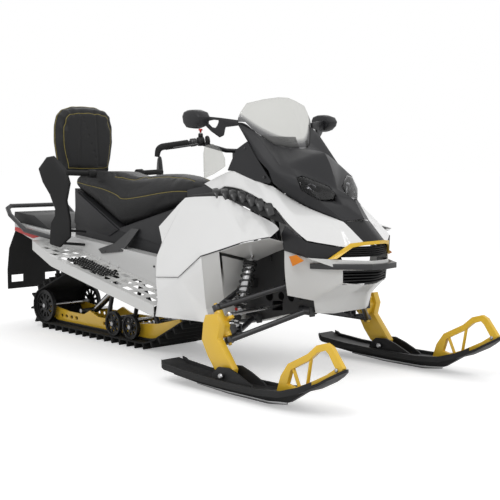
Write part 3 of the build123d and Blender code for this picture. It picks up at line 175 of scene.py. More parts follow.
def fine_scratches():
    """Rubbed and scratched streaks along one direction."""
    tree, given, result = group_tree(
        "Fine Scratches",
        [("Vector", "NodeSocketVector", None), ("Density", "NodeSocketFloat", 40.0),
            ("Cover", "NodeSocketFloat", 0.6)],
        [("Mask", "NodeSocketFloat")],
    )
    place = {"Vector": given.outputs["Vector"], "Scale": given.outputs["Density"]}
    noise = wired(tree, "ShaderNodeTexNoise", {**place, "Detail": 5.0, "Roughness": 0.7})
    feed(tree, result, {"Mask": ranged(tree, noise.outputs["Fac"], 0.0, 1.0, given.outputs["Cover"], 0.8)})


def new_material(name):
    """A named material, its tree and its shader."""
    mat = MATERIALS[name] = bpy.data.materials.new(name)
    mat.use_nodes = True
    return mat.node_tree, mat.node_tree.nodes["Principled BSDF"]


def finish_material(name, colour, shade, roughness, metallic=0.0, coat=0.0, grain=600.0, bump=0.02,
                    mottle=6.0, dust=0.0, scratch=0.0, stretch=(1, 1, 1), specular=0.5):
    """One of the machine's finishes: a colour that drifts to a second shade, grain, dust and scratches."""
    tree, shader = new_material(name)
    place = object_coordinates(tree, stretch)
    texture = grouped(tree, "Moulded Grain", {"Vector": place, "Grain Size": grain, "Mottle Size": mottle})
    drift = texture.outputs["Mottle"]
    base = mixed(tree, drift, (*colour, 1), (*shade, 1))
    rough = ranged(tree, drift, roughness * 0.85, roughness * 1.15)
    if scratch:
        along = object_coordinates(tree, (0.25, 1, 1.4))
        marks = grouped(tree, "Fine Scratches", {"Vector": along, "Density": 60.0})
        rough = worked(tree, "MULTIPLY_ADD", marks.outputs["Mask"], scratch, rough)
    if dust:
        film = grouped(tree, "Settled Dust", {"Vector": place, "Amount": dust})
        base = mixed(tree, film.outputs["Mask"], base, (0.5, 0.5, 0.49, 1))
    relief = wired(tree, "ShaderNodeBump", {
        "Strength": bump, "Distance": 0.002, "Height": texture.outputs["Height"],
    })
    feed(tree, shader, {
        "Base Color": base, "Roughness": rough, "Metallic": metallic, "Coat Weight": coat,
        "Coat Roughness": 0.06, "Specular IOR Level": specular, "Normal": relief.outputs["Normal"],
    })


def lens_material(name, tint, roughness):
    """Clear moulded lens, faintly tinted, with the ripple of a drawn sheet."""
    tree, shader = new_material(name)
    noise = wired(tree, "ShaderNodeTexNoise", {
        "Vector": object_coordinates(tree), "Scale": 3.0, "Detail": 1.0,
    })
    ripple = noise.outputs["Fac"]
    feed(tree, shader, {
        "Base Color": mixed(tree, ripple, (*[c * 0.97 for c in tint], 1), (*tint, 1)),
        "Roughness": ranged(tree, ripple, roughness, roughness * 1.5),
        "Transmission Weight": 1.0, "IOR": 1.35,
    })


def sheet_material(name, foot):
    """Milky clear sheet: mostly see-through, with a band of painted shade that darkens it towards its foot,
    standing in for the dark cowl seen through it.
    """
    tree, shader = new_material(name)
    split = wired(tree, "ShaderNodeSeparateXYZ", {0: object_coordinates(tree)})
    across = worked(tree, "MULTIPLY", split.outputs["Y"], split.outputs["Y"])
    line = worked(tree, "MULTIPLY_ADD", across, -2.2, split.outputs["Z"])
    band = ranged(tree, line, 0.0, 1.0, foot, foot + 0.03)
    noise = wired(tree, "ShaderNodeTexNoise", {
        "Vector": object_coordinates(tree), "Scale": 4.0, "Detail": 2.0,
    })
    clear = mixed(tree, noise.outputs["Fac"], (0.80, 0.80, 0.785, 1), (0.84, 0.84, 0.825, 1))
    # Painted shade: below the foot line the sheet lets through only a dark grey, standing in for the dark
    # cowl seen through it, not a tint
    see = wired(tree, "ShaderNodeBsdfTransparent", {"Color": mixed(tree, band, (0.25, 0.25, 0.26, 1), clear)})
    feed(tree, shader, {"Roughness": 0.06, "Coat Weight": 0.3, "Base Color": clear})
    milk = ranged(tree, noise.outputs["Fac"], 0.10, 0.22)
    both = wired(tree, "ShaderNodeMixShader", {0: milk, 1: see.outputs[0], 2: shader.outputs[0]})
    feed(tree, tree.nodes["Material Output"], {"Surface": both.outputs[0]})


class SledColours(bpy.types.PropertyGroup):
    """Colours of the machine's main finishes."""
    white: bpy.props.FloatVectorProperty(name="Panels", description="Gloss side and hood panels",
        subtype="COLOR", default=(0.78, 0.78, 0.775))
    yellow: bpy.props.FloatVectorProperty(name="Accent",
        description="Spindles, rails, ski loops and nose stripe", subtype="COLOR", default=(0.80, 0.50, 0.03))
    charcoal: bpy.props.FloatVectorProperty(name="Cowl", description="Satin cowl and inner panels",
        subtype="COLOR", default=(0.022, 0.022, 0.024))
    piping: bpy.props.FloatVectorProperty(name="Piping", description="Piping along the seat",
        subtype="COLOR", default=(0.30, 0.24, 0.05))


class SledSizes(bpy.types.PropertyGroup):
    """Sizes of the added detail."""
    screw_radius: bpy.props.FloatProperty(name="Screw Radius", description="Heads of the body screws",
        unit="LENGTH", default=0.006)
    lens_mm: bpy.props.FloatProperty(name="Lens", description="Focal length of the product camera",
        default=73.46)


FINISH_OF = {
    "white_plastic": "White Panel", "pale_grey_plastic": "Pale Grey Panel",
    "charcoal_plastic": "Charcoal Cowl", "black_plastic": "Black Moulding", "yellow_paint": "Yellow Coat",
    "yellow_plastic": "Yellow Moulding", "black_paint": "Black Coat", "tunnel_aluminium": "Tunnel Sheet",
    "board_metal": "Board Sheet", "steel": "Machined Steel", "rubber": "Rubber",
    "seat_vinyl": "Cushion Vinyl", "clear_screen": "Clear Screen", "lamp_glass": "Smoked Lens",
    "red_reflector": "Red Reflector", "engine_grey": "Cast Metal", "orange_reflector": "Orange Reflector",
}


def make_finishes(colours):
    """All of the machine's finishes."""
    moulded_grain()
    settled_dust()
    fine_scratches()
    white, yellow, charcoal = colours.white, colours.yellow, colours.charcoal
    finish_material("White Panel", white, [c * 0.97 for c in white], 0.22, coat=0.6, grain=180, bump=0.01,
        mottle=3)
    finish_material("Pale Grey Panel", (0.60, 0.60, 0.59), (0.56, 0.56, 0.55), 0.3, coat=0.4, grain=220,
        bump=0.015, mottle=3)
    finish_material("Charcoal Cowl", charcoal, [c * 0.8 for c in charcoal], 0.44, grain=900, bump=0.06,
        dust=0.015, specular=0.3)
    finish_material("Black Moulding", (0.012, 0.012, 0.013), (0.009, 0.009, 0.009), 0.5, grain=1200,
        bump=0.08, dust=0.015, specular=0.3)
    finish_material("Yellow Coat", yellow, [c * 0.88 for c in yellow], 0.33, coat=0.3, grain=500, bump=0.03,
        dust=0.03, scratch=0.15)
    finish_material("Yellow Moulding", yellow, [c * 0.92 for c in yellow], 0.38, coat=0.15, grain=700,
        bump=0.03, scratch=0.12)
    finish_material("Black Coat", (0.016, 0.016, 0.018), (0.022, 0.022, 0.024), 0.38, coat=0.15, grain=900,
        bump=0.05, scratch=0.1)
    finish_material("Tunnel Sheet", (0.66, 0.66, 0.655), (0.60, 0.60, 0.595), 0.36, coat=0.2, grain=400,
        bump=0.03, scratch=0.2, stretch=(0.15, 1, 1))
    finish_material("Board Sheet", (0.66, 0.66, 0.65), (0.60, 0.60, 0.59), 0.36, coat=0.2, grain=300,
        bump=0.02, scratch=0.2)
    finish_material("Machined Steel", (0.50, 0.50, 0.50), (0.40, 0.40, 0.41), 0.28, metallic=1.0, grain=700,
        bump=0.02, scratch=0.2, stretch=(0.2, 1, 1))
    finish_material("Rubber", (0.010, 0.010, 0.010), (0.016, 0.016, 0.016), 0.72, grain=1500, bump=0.15,
        dust=0.04, specular=0.25)
    finish_material("Cushion Vinyl", (0.013, 0.013, 0.0135), (0.018, 0.018, 0.0185), 0.5, grain=1100,
        bump=0.22, dust=0.01, specular=0.28)
    finish_material("Red Reflector", (0.42, 0.006, 0.004), (0.50, 0.010, 0.006), 0.3, coat=0.15, grain=260,
        bump=0.2, specular=0.25)
    finish_material("Orange Reflector", (0.66, 0.19, 0.004), (0.74, 0.23, 0.006), 0.3, coat=0.15, grain=260,
        bump=0.2, specular=0.25)
    finish_material("Cast Metal", (0.035, 0.035, 0.037), (0.025, 0.025, 0.025), 0.5, metallic=0.3, grain=500,
        bump=0.1)
    finish_material("Cushion Piping", colours.piping, [c * 0.85 for c in colours.piping], 0.55, grain=1500,
        bump=0.1)
    finish_material("Spring Coat", (0.014, 0.014, 0.015), (0.02, 0.02, 0.021), 0.25, coat=0.4, grain=900,
        bump=0.03, dust=0.04)
    finish_material("Black Gloss Moulding", (0.015, 0.015, 0.016), (0.022, 0.022, 0.023), 0.32, coat=0.2,
        grain=900, bump=0.04, dust=0.03)
    finish_material("Red Plastic", (0.55, 0.015, 0.01), (0.45, 0.01, 0.01), 0.35, grain=800, bump=0.03)
    finish_material("Lamp Chrome", (0.80, 0.80, 0.82), (0.70, 0.70, 0.72), 0.10, metallic=1.0, grain=900,
        bump=0.01)
    lens_material("Clear Screen", (0.90, 0.90, 0.885), 0.03)
    lens_material("Smoked Lens", (0.30, 0.30, 0.31), 0.02)
    # The screen's painted shade band lies below a foot line at 1.108 m; the knee sheets stand above their 0.5
    # m foot line and show none
    sheet_material("Touring Screen", 1.108)
    sheet_material("Milky Sheet", 0.5)


class SLED_OT_finishes(bpy.types.Operator):
    """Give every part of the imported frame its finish"""
    bl_idname = "sled.finishes"
    bl_label = "Frame Finishes"

    def execute(self, context):
        make_finishes(context.scene.sled_colours)
        slots = {part["node"]: part["material_slot"] for part in frame["record"]["subparts"]}
        for name, obj in frame["nodes"].items():
            obj.data.materials.clear()
            obj.data.materials.append(MATERIALS[FINISH_OF[slots[name]]])
        return {"FINISHED"}


# Shapes

def millimetres(points):
    """Points given in millimetres, as vectors in metres."""
    return [Vector(p) / 1000 for p in points]


def new_piece(name, body, finish, build, shade=True):
    """A piece from a mesh built in bmesh, with its finish, riding on a body."""
    mesh = bpy.data.meshes.new(name)
    made = bmesh.new()
    build(made)
    bmesh.ops.remove_doubles(made, verts=made.verts, dist=MERGE)
    bmesh.ops.recalc_face_normals(made, faces=made.faces)
    made.to_mesh(mesh)
    made.free()
    return placed(name, mesh, body, finish, shade)


def placed(name, mesh, body, finish, shade=True):
    """An object of a finished mesh, with its finish, riding on a body."""
    for face in mesh.polygons:
        face.use_smooth = shade
    obj = linked(name, mesh)
    mesh.materials.clear()
    mesh.materials.append(MATERIALS[finish])
    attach(obj, body)
    return obj


def linked(name, data):
    """A new object in the scene."""
    obj = bpy.data.objects.new(name, data)
    bpy.context.scene.collection.objects.link(obj)
    return obj


def both_sides(build):
    """The same shape on the right and, mirrored, on the left."""
    def pair(made):
        build(made)
        copy = bmesh.ops.duplicate(made, geom=made.verts[:] + made.edges[:] + made.faces[:])["geom"]
        for vert in [v for v in copy if isinstance(v, bmesh.types.BMVert)]:
            vert.co.y = -vert.co.y
        bmesh.ops.reverse_faces(made, faces=[f for f in copy if isinstance(f, bmesh.types.BMFace)])
    return pair


def on_circle(k, sides, wide, high):
    """The k-th corner of an oval."""
    angle = 2 * math.pi * k / sides
    return wide * math.cos(angle), high * math.sin(angle)


def ring_at(centre, along, radius, sides):
    """Corners of a round section square to a direction."""
    frame_of = along.to_track_quat("Z", "Y").to_matrix()
    return [centre + frame_of @ Vector((*on_circle(i, sides, radius, radius), 0)) for i in range(sides)]


def skin_rings(made, rings):
    """Faces between successive rings of corners, with both ends closed."""
    rows = [[made.verts.new(p) for p in ring] for ring in rings]
    for a, b in zip(rows, rows[1:]):
        for i in range(len(a)):
            j = (i + 1) % len(a)
            made.faces.new((a[i], a[j], b[j], b[i]))
    made.faces.new(list(reversed(rows[0])))
    made.faces.new(rows[-1])


def turned(made, start, end, profile, sides=32):
    """A turned part between two points: a profile of (share of the length, radius)."""
    a, b = Vector(start), Vector(end)
    along = b - a
    skin_rings(made, [ring_at(a + along * t, along, r, sides) for t, r in profile])


def smooth_path(points, steps=8):
    """A Catmull-Rom path through the points."""
    pts = [Vector(p) for p in points]
    ends = [pts[0] * 2 - pts[1]] + pts + [pts[-1] * 2 - pts[-2]]
    out = []
    for i in range(1, len(ends) - 2):
        p0, p1, p2, p3 = ends[i - 1:i + 3]
        for t in (k / steps for k in range(steps)):
            curve = (2 * p0 - 5 * p1 + 4 * p2 - p3) * t * t + (3 * p1 - p0 - 3 * p2 + p3) * t ** 3
            out.append(0.5 * (2 * p1 + (p2 - p0) * t + curve))
    return out + [pts[-1]]


def swept(made, points, radii, sides=12, steps=8):
    """A round or oval bar along a smooth path, with its radii at each point or the same all along."""
    path = smooth_path(points, steps)
    if not isinstance(radii, list):
        radii = [radii] * len(points)
    radii = [r if isinstance(r, tuple) else (r, r) for r in radii]
    rings = []
    up = Vector((0, 0, 1))
    for i, p in enumerate(path):
        along = (path[min(i + 1, len(path) - 1)] - path[max(i - 1, 0)]).normalized()
        side = along.cross(up)
        side = side.normalized() if side.length > 1e-6 else Vector((0, 1, 0))
        up = side.cross(along).normalized()
        share = i / (len(path) - 1) * (len(radii) - 1)
        low = min(int(share), len(radii) - 2)
        wide, high = (a + (b - a) * (share - low) for a, b in zip(radii[low], radii[low + 1]))
        corners = [on_circle(k, sides, wide, high) for k in range(sides)]
        rings.append([p + side * c + up * s for c, s in corners])
    skin_rings(made, rings)


def rounded(obj, width, segments=2, angle=30):
    """Eased edges on a piece."""
    bevel = obj.modifiers.new("eased_edges", "BEVEL")
    bevel.width = width
    bevel.segments = segments
    bevel.limit_method = "ANGLE"
    bevel.angle_limit = math.radians(angle)
    bevel.use_clamp_overlap = True
    return obj


def softened(name, node, finish, crease):
    """A moulded panel in place of a CAD node: its style lines stay crisp, the rest curves smoothly."""
    mesh = frame["nodes"][node].data.copy()
    made = bmesh.new()
    made.from_mesh(mesh)
    bmesh.ops.remove_doubles(made, verts=made.verts, dist=WELD)
    bmesh.ops.dissolve_limit(made, angle_limit=math.radians(0.6), verts=made.verts, edges=made.edges)
    bmesh.ops.triangulate(made, faces=[f for f in made.faces if len(f.verts) > 4])
    bmesh.ops.join_triangles(
        made, faces=made.faces, angle_face_threshold=math.radians(STYLE_LINE), angle_shape_threshold=math.pi,
    )
    weight = made.edges.layers.float.get("crease_edge") or made.edges.layers.float.new("crease_edge")
    for edge in made.edges:
        turn = math.degrees(edge.calc_face_angle(0))
        edge[weight] = 1.0 if turn > SHARP_RIM else crease if turn > STYLE_LINE else 0.0
    made.to_mesh(mesh)
    made.free()
    obj = placed(name, mesh, "chassis", finish)
    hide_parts(node)
    curve = obj.modifiers.new("curved", "SUBSURF")
    curve.levels = curve.render_levels = 2
    rounded(obj, EASE, 1, 50)
    return soften_shading(obj, 40)


# Geometry nodes

def tree_of(make_tree):
    """The tree that a function makes, made once."""
    if make_tree not in TREES:
        TREES[make_tree] = make_tree()
    return TREES[make_tree]


def set_inputs(modifier, values):
    """Sets a node modifier's inputs, found by their names."""
    for item in modifier.node_group.interface.items_tree:
        if item.name in values:
            modifier[item.identifier] = values[item.name]


def soft_edges_tree():
    """Geometry nodes: shades smooth, with edges that fold more than an angle kept sharp."""
    tree, given, result = group_tree(
        "Soft Edges",
        [GEOMETRY, ("Sharp Angle", "NodeSocketFloat", math.radians(35))],
        [GEOMETRY[:2]], "GeometryNodeTree",
    )
    bare = wired(tree, "GeometryNodeRemoveAttribute", {
        "Geometry": given.outputs["Geometry"], "Name": "custom_normal",
    })
    smooth = wired(tree, "GeometryNodeSetShadeSmooth", {"Geometry": bare.outputs["Geometry"]}, domain="FACE")
    fold = tree.nodes.new("GeometryNodeInputMeshEdgeAngle")
    wide = wired(
        tree, "FunctionNodeCompare", {"A": fold.outputs["Unsigned Angle"], "B": given.outputs["Sharp Angle"]},
        data_type="FLOAT", operation="GREATER_THAN",
    )
    ends = {
        "Geometry": smooth.outputs["Geometry"], "Selection": wide.outputs["Result"], "Shade Smooth": False,
    }
    sharp = wired(tree, "GeometryNodeSetShadeSmooth", ends, domain="EDGE")
    feed(tree, result, {"Geometry": sharp.outputs["Geometry"]})
    return tree


def finished_tree(tree, result, shape, finish):
    """Ends a tree with real geometry in its finish."""
    real = wired(tree, "GeometryNodeRealizeInstances", {"Geometry": shape})
    coat = wired(tree, "GeometryNodeSetMaterial", {"Geometry": real.outputs["Geometry"], "Material": finish})
    feed(tree, result, {"Geometry": coat.outputs["Geometry"]})
    return tree


def tube_tree():
    """Geometry nodes: a round tube along every run of edges."""
    tree, given, result = group_tree(
        "Tube Along Path",
        [GEOMETRY, ("Radius", "NodeSocketFloat", 0.002), ("Sides", "NodeSocketInt", 8), FINISH],
        [GEOMETRY[:2]], "GeometryNodeTree",
    )
    run = wired(tree, "GeometryNodeMeshToCurve", {"Mesh": given.outputs["Geometry"]})
    ends = {"Resolution": given.outputs["Sides"], "Radius": given.outputs["Radius"]}
    section = wired(tree, "GeometryNodeCurvePrimitiveCircle", ends)
    ends = {"Curve": run.outputs["Curve"], "Profile Curve": section.outputs["Curve"], "Fill Caps": True}
    tube = wired(tree, "GeometryNodeCurveToMesh", ends)
    return finished_tree(tree, result, tube.outputs["Mesh"], given.outputs["Finish"])


def copies_tree():
    """Geometry nodes: a copy of a small part at every spot, turned as the spot says."""
    tree, given, result = group_tree(
        "Copies At Spots",
        [GEOMETRY, ("Part", "NodeSocketObject", None), ("Size", "NodeSocketFloat", 1.0), FINISH],
        [GEOMETRY[:2]], "GeometryNodeTree",
    )
    part = wired(tree, "GeometryNodeObjectInfo", {"Object": given.outputs["Part"]})
    turn = wired(tree, "GeometryNodeInputNamedAttribute", {"Name": "turn"}, data_type="QUATERNION")
    copies = wired(tree, "GeometryNodeInstanceOnPoints", {
        "Points": given.outputs["Geometry"], "Instance": part.outputs["Geometry"],
        "Rotation": turn.outputs["Attribute"], "Scale": given.outputs["Size"],
    })
    bare = wired(tree, "GeometryNodeRemoveAttribute", {
        "Geometry": copies.outputs["Instances"], "Name": "turn",
    })
    return finished_tree(tree, result, bare.outputs["Geometry"], given.outputs["Finish"])


def grown(name, body, finish, base, make_tree, values, pair, shade):
    """A piece that a tree grows from a base mesh, kept as a plain mesh, on one side or on both."""
    obj = linked(name + "_base", base)
    modifier = obj.modifiers.new("grown", "NODES")
    modifier.node_group = tree_of(make_tree)
    set_inputs(modifier, {**values, "Finish": MATERIALS[finish]})
    mesh = bake(obj).data

    def build(made):
        made.from_mesh(mesh)
    piece = new_piece(name, body, finish, both_sides(build) if pair else build, shade)
    bpy.data.objects.remove(obj)
    return piece


def tubes(name, body, finish, runs, radius, sides=8, pair=True):
    """Round tubes along runs of points."""
    base = bpy.data.meshes.new(name + "_runs")
    edges, first = [], 0
    for run in runs:
        edges += [(first + i, first + i + 1) for i in range(len(run) - 1)]
        first += len(run)
    base.from_pydata([p for run in runs for p in run], edges, [])
    return grown(name, body, finish, base, tube_tree, {"Radius": radius, "Sides": sides}, pair, True)


def copies(name, body, finish, build, spots, shade=True):
    """Copies of one small part, built upright, at spots of (place, direction) on both sides."""
    base = bpy.data.meshes.new(name + "_spots")
    base.from_pydata([at for at, way in spots], [], [])
    turns = base.attributes.new("turn", "QUATERNION", "POINT")
    for spot, (at, way) in zip(turns.data, spots):
        spot.value = Vector(way).to_track_quat("Z", "Y") @ Vector(UP).to_track_quat("Z", "Y").inverted()
    mesh = bpy.data.meshes.new(name + "_part")
    made = bmesh.new()
    build(made)
    made.to_mesh(mesh)
    made.free()
    part = linked(name + "_part", mesh)
    piece = grown(name, body, finish, base, copies_tree, {"Part": part}, True, shade)
    bpy.data.objects.remove(part)
    return piece


def bake(obj):
    """The object's mesh with its modifiers applied, and none left on it."""
    graph = bpy.context.evaluated_depsgraph_get()
    mesh = bpy.data.meshes.new_from_object(obj.evaluated_get(graph))
    obj.modifiers.clear()
    old = obj.data
    obj.data = mesh
    bpy.data.meshes.remove(old)
    return obj


def soften_shading(obj, angle):
    """Smooth shading between an object's edges that fold less than an angle."""
    shading = obj.modifiers.new("soft_edges", "NODES")
    shading.node_group = tree_of(soft_edges_tree)
    set_inputs(shading, {"Sharp Angle": math.radians(angle)})
    return obj


def eased_node(name, width):
    """Eased edges and smooth shading on a CAD node, whose mesh stays as it is."""
    obj = frame["nodes"][name]
    weld = obj.modifiers.new("weld", "WELD")
    weld.merge_threshold = WELD
    if width:
        rounded(obj, width, 2, 38)
    soften_shading(obj, 38)


class SLED_OT_edges(bpy.types.Operator):
    """Ease the edges of the machined, folded and moulded parts"""
    bl_idname = "sled.edges"
    bl_label = "Eased Edges"

    def execute(self, context):
        for node in frame["nodes"]:
            if node not in REMADE:
                eased_node(node, 0 if node in PLAIN_EDGES else EASE)
        return {"FINISHED"}


# Body panels and deflectors

def thick_sheet(made, rows, wall):
    """A sheet through rows of points, with a wall towards the back."""
    grid = [[made.verts.new(p) for p in row] for row in rows]
    front = []
    for a, b in zip(grid, grid[1:]):
        front += [made.faces.new((a[i], a[i + 1], b[i + 1], b[i])) for i in range(len(a) - 1)]
    made.normal_update()
    back = {v: made.verts.new(v.co - v.normal * wall) for row in grid for v in row}
    for face in front:
        made.faces.new([back[v] for v in reversed(face.verts)])
    right, left = [row[-1] for row in grid[1:]], [row[0] for row in reversed(grid[1:-1])]
    rim = grid[0] + right + list(reversed(grid[-1][:-1])) + left
    for i, v in enumerate(rim):
        w = rim[(i + 1) % len(rim)]
        made.faces.new((w, v, back[v], back[w]))


def about(centre, value, share):
    """A value moved towards a centre, to a share of its distance."""
    return centre + (value - centre) * share


WELL_WALL = (
    ((600, -437, 583), (592, -401, 331), (640, -417, 271)),
    ((724, -437, 617), (640, -330, 352), (655, -330, 271)),
    ((724, -200, 560), (640, -190, 400), (645, -190, 271)),
)
WELL_ROOF = (
    ((724, -437, 617), (880, -433, 664), (1035, -416, 694)),
    ((724, -200, 560), (850, -190, 610), (985, -205, 650)),
)
PANEL_FOLD = (
    (212, -404, 452), (431, -441, 472), (600, -441, 587), (726, -441, 622), (882, -437, 668),
    (1036, -420, 699),
)


class SLED_OT_bodywork(bpy.types.Operator):
    """Curve the moulded panels between their style lines, line the wheel wells and draw the panel seams"""
    bl_idname = "sled.bodywork"
    bl_label = "Body Panels"

    def execute(self, context):
        softened("side_panel_shells", "side_panels", "White Panel", 0.95)
        softened("hood_panel_shells", "upper_panels", "White Panel", 0.94)
        softened("cowl_shell", "cowl", "Charcoal Cowl", 0.95)
        softened("belly_shell", "belly_pan", "Pale Grey Panel", 0.95)

        def liners(made):
            for rows in (WELL_WALL, WELL_ROOF):
                thick_sheet(made, [millimetres(row) for row in rows], SHEET_WALL)
        wells = new_piece("wheel_well_liners", "chassis", "Pale Grey Panel", both_sides(liners), shade=False)
        soften_shading(wells, 30)
        fold = millimetres(PANEL_FOLD)
        tubes("panel_seams", "chassis", "Black Moulding", list(zip(fold, fold[1:])), 0.0016, 6)
        return {"FINISHED"}


POD_OUTLINE = (
    (-107, 165), (-57, 228), (-10, 236), (66, 156), (88, 83), (66, -18), (86, -129), (86, -226),
    (18, -286), (-44, -268), (-40, -202), (-8, -147), (-4, -74), (-39, 18), (-84, 92),
)
POD_DEPTHS = ((-15, 0.84), (-11, 0.96), (0, 1.0), (9, 0.97), (14, 0.88), (17, 0.7))
KNEE_COLUMNS = (
    ((408, 944), (416, 1066)), ((446, 952), (438, 1104)), ((500, 968), (500, 1112)),
    ((548, 990), (556, 1086)), ((566, 1004), (574, 1040)),
)


def pods(made):
    """The right hand deflector: one waisted form with its two stays to the tunnel."""
    at, right, out = Vector((-738, -372, 823)), Vector((0.84, 0.54, 0)), Vector((0.54, -0.84, 0))
    rings = []
    for depth, s in POD_DEPTHS:
        middle = at + out * depth
        rings.append([(middle + right * (u * s) + Vector((0, 0, v * s))) / 1000 for u, v in POD_OUTLINE])
    skin_rings(made, rings)
    for x, y, z in ((-722, -362, 565), (-706, -352, 640)):
        stay = millimetres([(x, y, z), (x + 8, -208, z - 18)])
        swept(made, stay, [(0.016, 0.008), (0.014, 0.008)], steps=2)


def handles(made):
    """The right grab handle with its collar."""
    turned(made, (-0.680, -0.150, 0.955), (-0.684, -0.345, 0.963),
        [(0, 0.012), (0.01, 0.0155), (0.98, 0.0155), (1, 0.013)], 24)
    turned(made, (-0.680, -0.148, 0.955), (-0.681, -0.196, 0.957),
        [(0, 0.020), (0.05, 0.024), (0.85, 0.024), (1, 0.019)], 24)


def console_sides(made):
    """The right side panel of the console."""
    high = [(575, -245, 989), (640, -249, 1085), (716, -251, 1121), (772, -243, 1044), (858, -232, 938)]
    low = [(575, -243, 984), (622, -243, 982), (700, -241, 956), (760, -240, 938), (850, -235, 926)]
    thick_sheet(made, [millimetres(high), millimetres(low)], SHEET_WALL)


def knee_sheets(made):
    """The clear knee deflector on the right, bowed outwards."""
    rows = []
    for t in (k / 6 for k in range(7)):
        row = []
        for i, (low, high) in enumerate(KNEE_COLUMNS):
            bow = -256 - 14 * math.sin(math.pi * i / 4) - 10 * t
            row.append((low[0] + (high[0] - low[0]) * t, bow, low[1] + (high[1] - low[1]) * t))
        rows.append(millimetres(row))
    thick_sheet(made, rows, SHEET_WALL)


class SLED_OT_deflectors(bpy.types.Operator):
    """Model the passenger's hand deflectors, the console's sides and the clear knee deflectors"""
    bl_idname = "sled.deflectors"
    bl_label = "Deflectors"

    def execute(self, context):
        shells = new_piece("deflector_pods", "chassis", "Black Moulding", both_sides(pods))
        soften_shading(rounded(shells, 0.004, 3, 30), 40)
        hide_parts("passenger_deflectors", "deflector_brackets")
        hold = new_piece("grab_handles", "chassis", "Rubber", both_sides(handles))
        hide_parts("grab_bars")
        sides = new_piece("console_side_panels", "chassis", "Charcoal Cowl", both_sides(console_sides))
        soften_shading(sides, 30)
        knee = new_piece("knee_deflectors", "chassis", "Milky Sheet", both_sides(knee_sheets))
        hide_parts("side_deflectors")
        return {"FINISHED"}


# Soft goods

def loft(made, sections, sides=28, power=3.5):
    """Rounded sections along X in millimetres: (x, low z, high z, half width low, half width high)."""
    rings = []
    for x, low, high, wide_low, wide_high in sections:
        ring = []
        for c, s in (on_circle(k, sides, 1, 1) for k in range(sides)):
            u, v = (math.copysign(abs(w) ** (2 / power), w) for w in (c, s))
            half = wide_low + (wide_high - wide_low) * (v + 1) / 2
            ring.append(Vector((x, half * u, (low + high) / 2 + (high - low) / 2 * v)) / 1000)
        rings.append(ring)
    skin_rings(made, rings)


def relaxed(obj, rounds):
    """Evens out a piece's surface."""
    smooth = obj.modifiers.new("relax", "SMOOTH")
    smooth.iterations = rounds
    bake(obj)


def swollen(obj, cap, held):
    """Swells a piece as cloth between what holds it, and limits how far a point may move."""
    start = [v.co.copy() for v in obj.data.vertices]
    pins = obj.vertex_groups.new(name="held")
    pins.add([v.index for v in obj.data.vertices if held(v.co)], 1.0, "REPLACE")
    cloth = obj.modifiers.new("cloth", "CLOTH")
    cloth.settings.use_pressure = True
    cloth.settings.uniform_pressure_force = CLOTH_PRESSURE
    cloth.settings.vertex_group_mass = "held"
    cloth.settings.effector_weights.gravity = 0
    for frame_number in range(1, CLOTH_FRAMES + 1):
        bpy.context.scene.frame_set(frame_number)
    bake(obj)
    bpy.context.scene.frame_set(1)
    for vert, old in zip(obj.data.vertices, start):
        move = vert.co - old
        if move.length > cap:
            vert.co = old + move * (cap / move.length)


def stuffed(name, node, build, cap, held):
    """A padded piece: its closed form remeshed, swollen as cloth, then smoothed."""
    obj = new_piece(name, "chassis", "Cushion Vinyl", build)
    remesh = obj.modifiers.new("remesh", "REMESH")
    remesh.mode = "VOXEL"
    remesh.voxel_size = VOXEL
    relaxed(obj, 6)
    swollen(obj, cap, held)
    relaxed(obj, 9)
    round_off = obj.modifiers.new("smooth", "SUBSURF")
    round_off.levels = round_off.render_levels = 1
    for face in obj.data.polygons:
        face.use_smooth = True
    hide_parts(node)
    return obj


def on_surface(obj, points, lift):
    """Points moved to the nearest place on a piece, evened out, lifted off it by a distance."""
    out = [obj.closest_point_on_mesh(p)[1] for p in points]
    for _ in range(14):
        middle = [a * 0.25 + b * 0.5 + c * 0.25 for a, b, c in zip(out, out[1:], out[2:])]
        out = out[:1] + middle + out[-1:]
        out = [p.lerp(obj.closest_point_on_mesh(p)[1], 0.5) for p in out]
    return [spot[1] + spot[2] * lift for spot in (obj.closest_point_on_mesh(p) for p in out)]


def piping(name, obj, runs, radius):
    """A corded seam along runs of points in millimetres, laid on a padded piece."""
    paths = [on_surface(obj, smooth_path(millimetres(run), 12), radius * 0.3) for run in runs]
    return tubes(name, "chassis", "Cushion Piping", paths, radius, pair=False)


def sunk(obj, runs, width, depth):
    """A sewn channel pressed into a padded piece along runs of points in millimetres."""
    path = [p for run in runs for p in smooth_path(millimetres(run), 40)]
    tree = KDTree(len(path))
    for i, p in enumerate(on_surface(obj, path, 0)):
        tree.insert(p, i)
    tree.balance()
    for vert in obj.data.vertices:
        gap = tree.find(vert.co)[2]
        if gap < width:
            vert.co -= vert.normal * depth * (0.5 + 0.5 * math.cos(math.pi * gap / width))


def mirrored(run):
    """A run and its copy on the other side."""
    return [run, [(x, -y, z) for x, y, z in run]]


SEAT_SECTIONS = (
    (138, 846, 896, 62, 56), (122, 822, 912, 96, 84), (90, 800, 930, 122, 102), (30, 786, 944, 134, 112),
    (-80, 758, 952, 142, 116), (-180, 731, 950, 147, 120), (-300, 699, 938, 149, 128),
    (-400, 673, 934, 150, 136), (-470, 662, 946, 150, 140), (-540, 694, 960, 150, 142),
    (-640, 742, 962, 150, 144), (-780, 810, 960, 149, 143), (-870, 853, 956, 146, 140),
    (-906, 874, 944, 138, 130), (-918, 892, 926, 120, 112),
)
SEAT_FLANK = (
    (120, -100, 868), (60, -125, 872), (-80, -140, 860), (-250, -148, 836), (-420, -150, 818),
    (-470, -150, 838), (-600, -150, 868), (-780, -148, 890), (-905, -140, 904),
)
SEAT_SADDLE = (
    (-540, -118, 960), (-450, -104, 954), (-370, -78, 950), (-330, -36, 950), (-322, 0, 950), (-330, 36, 950),
    (-370, 78, 950), (-450, 104, 954), (-540, 118, 960),
)
SEAT_RIDER = ((100, -52, 930), (20, -72, 948), (-120, -82, 960), (-240, -80, 955), (-310, -60, 950))
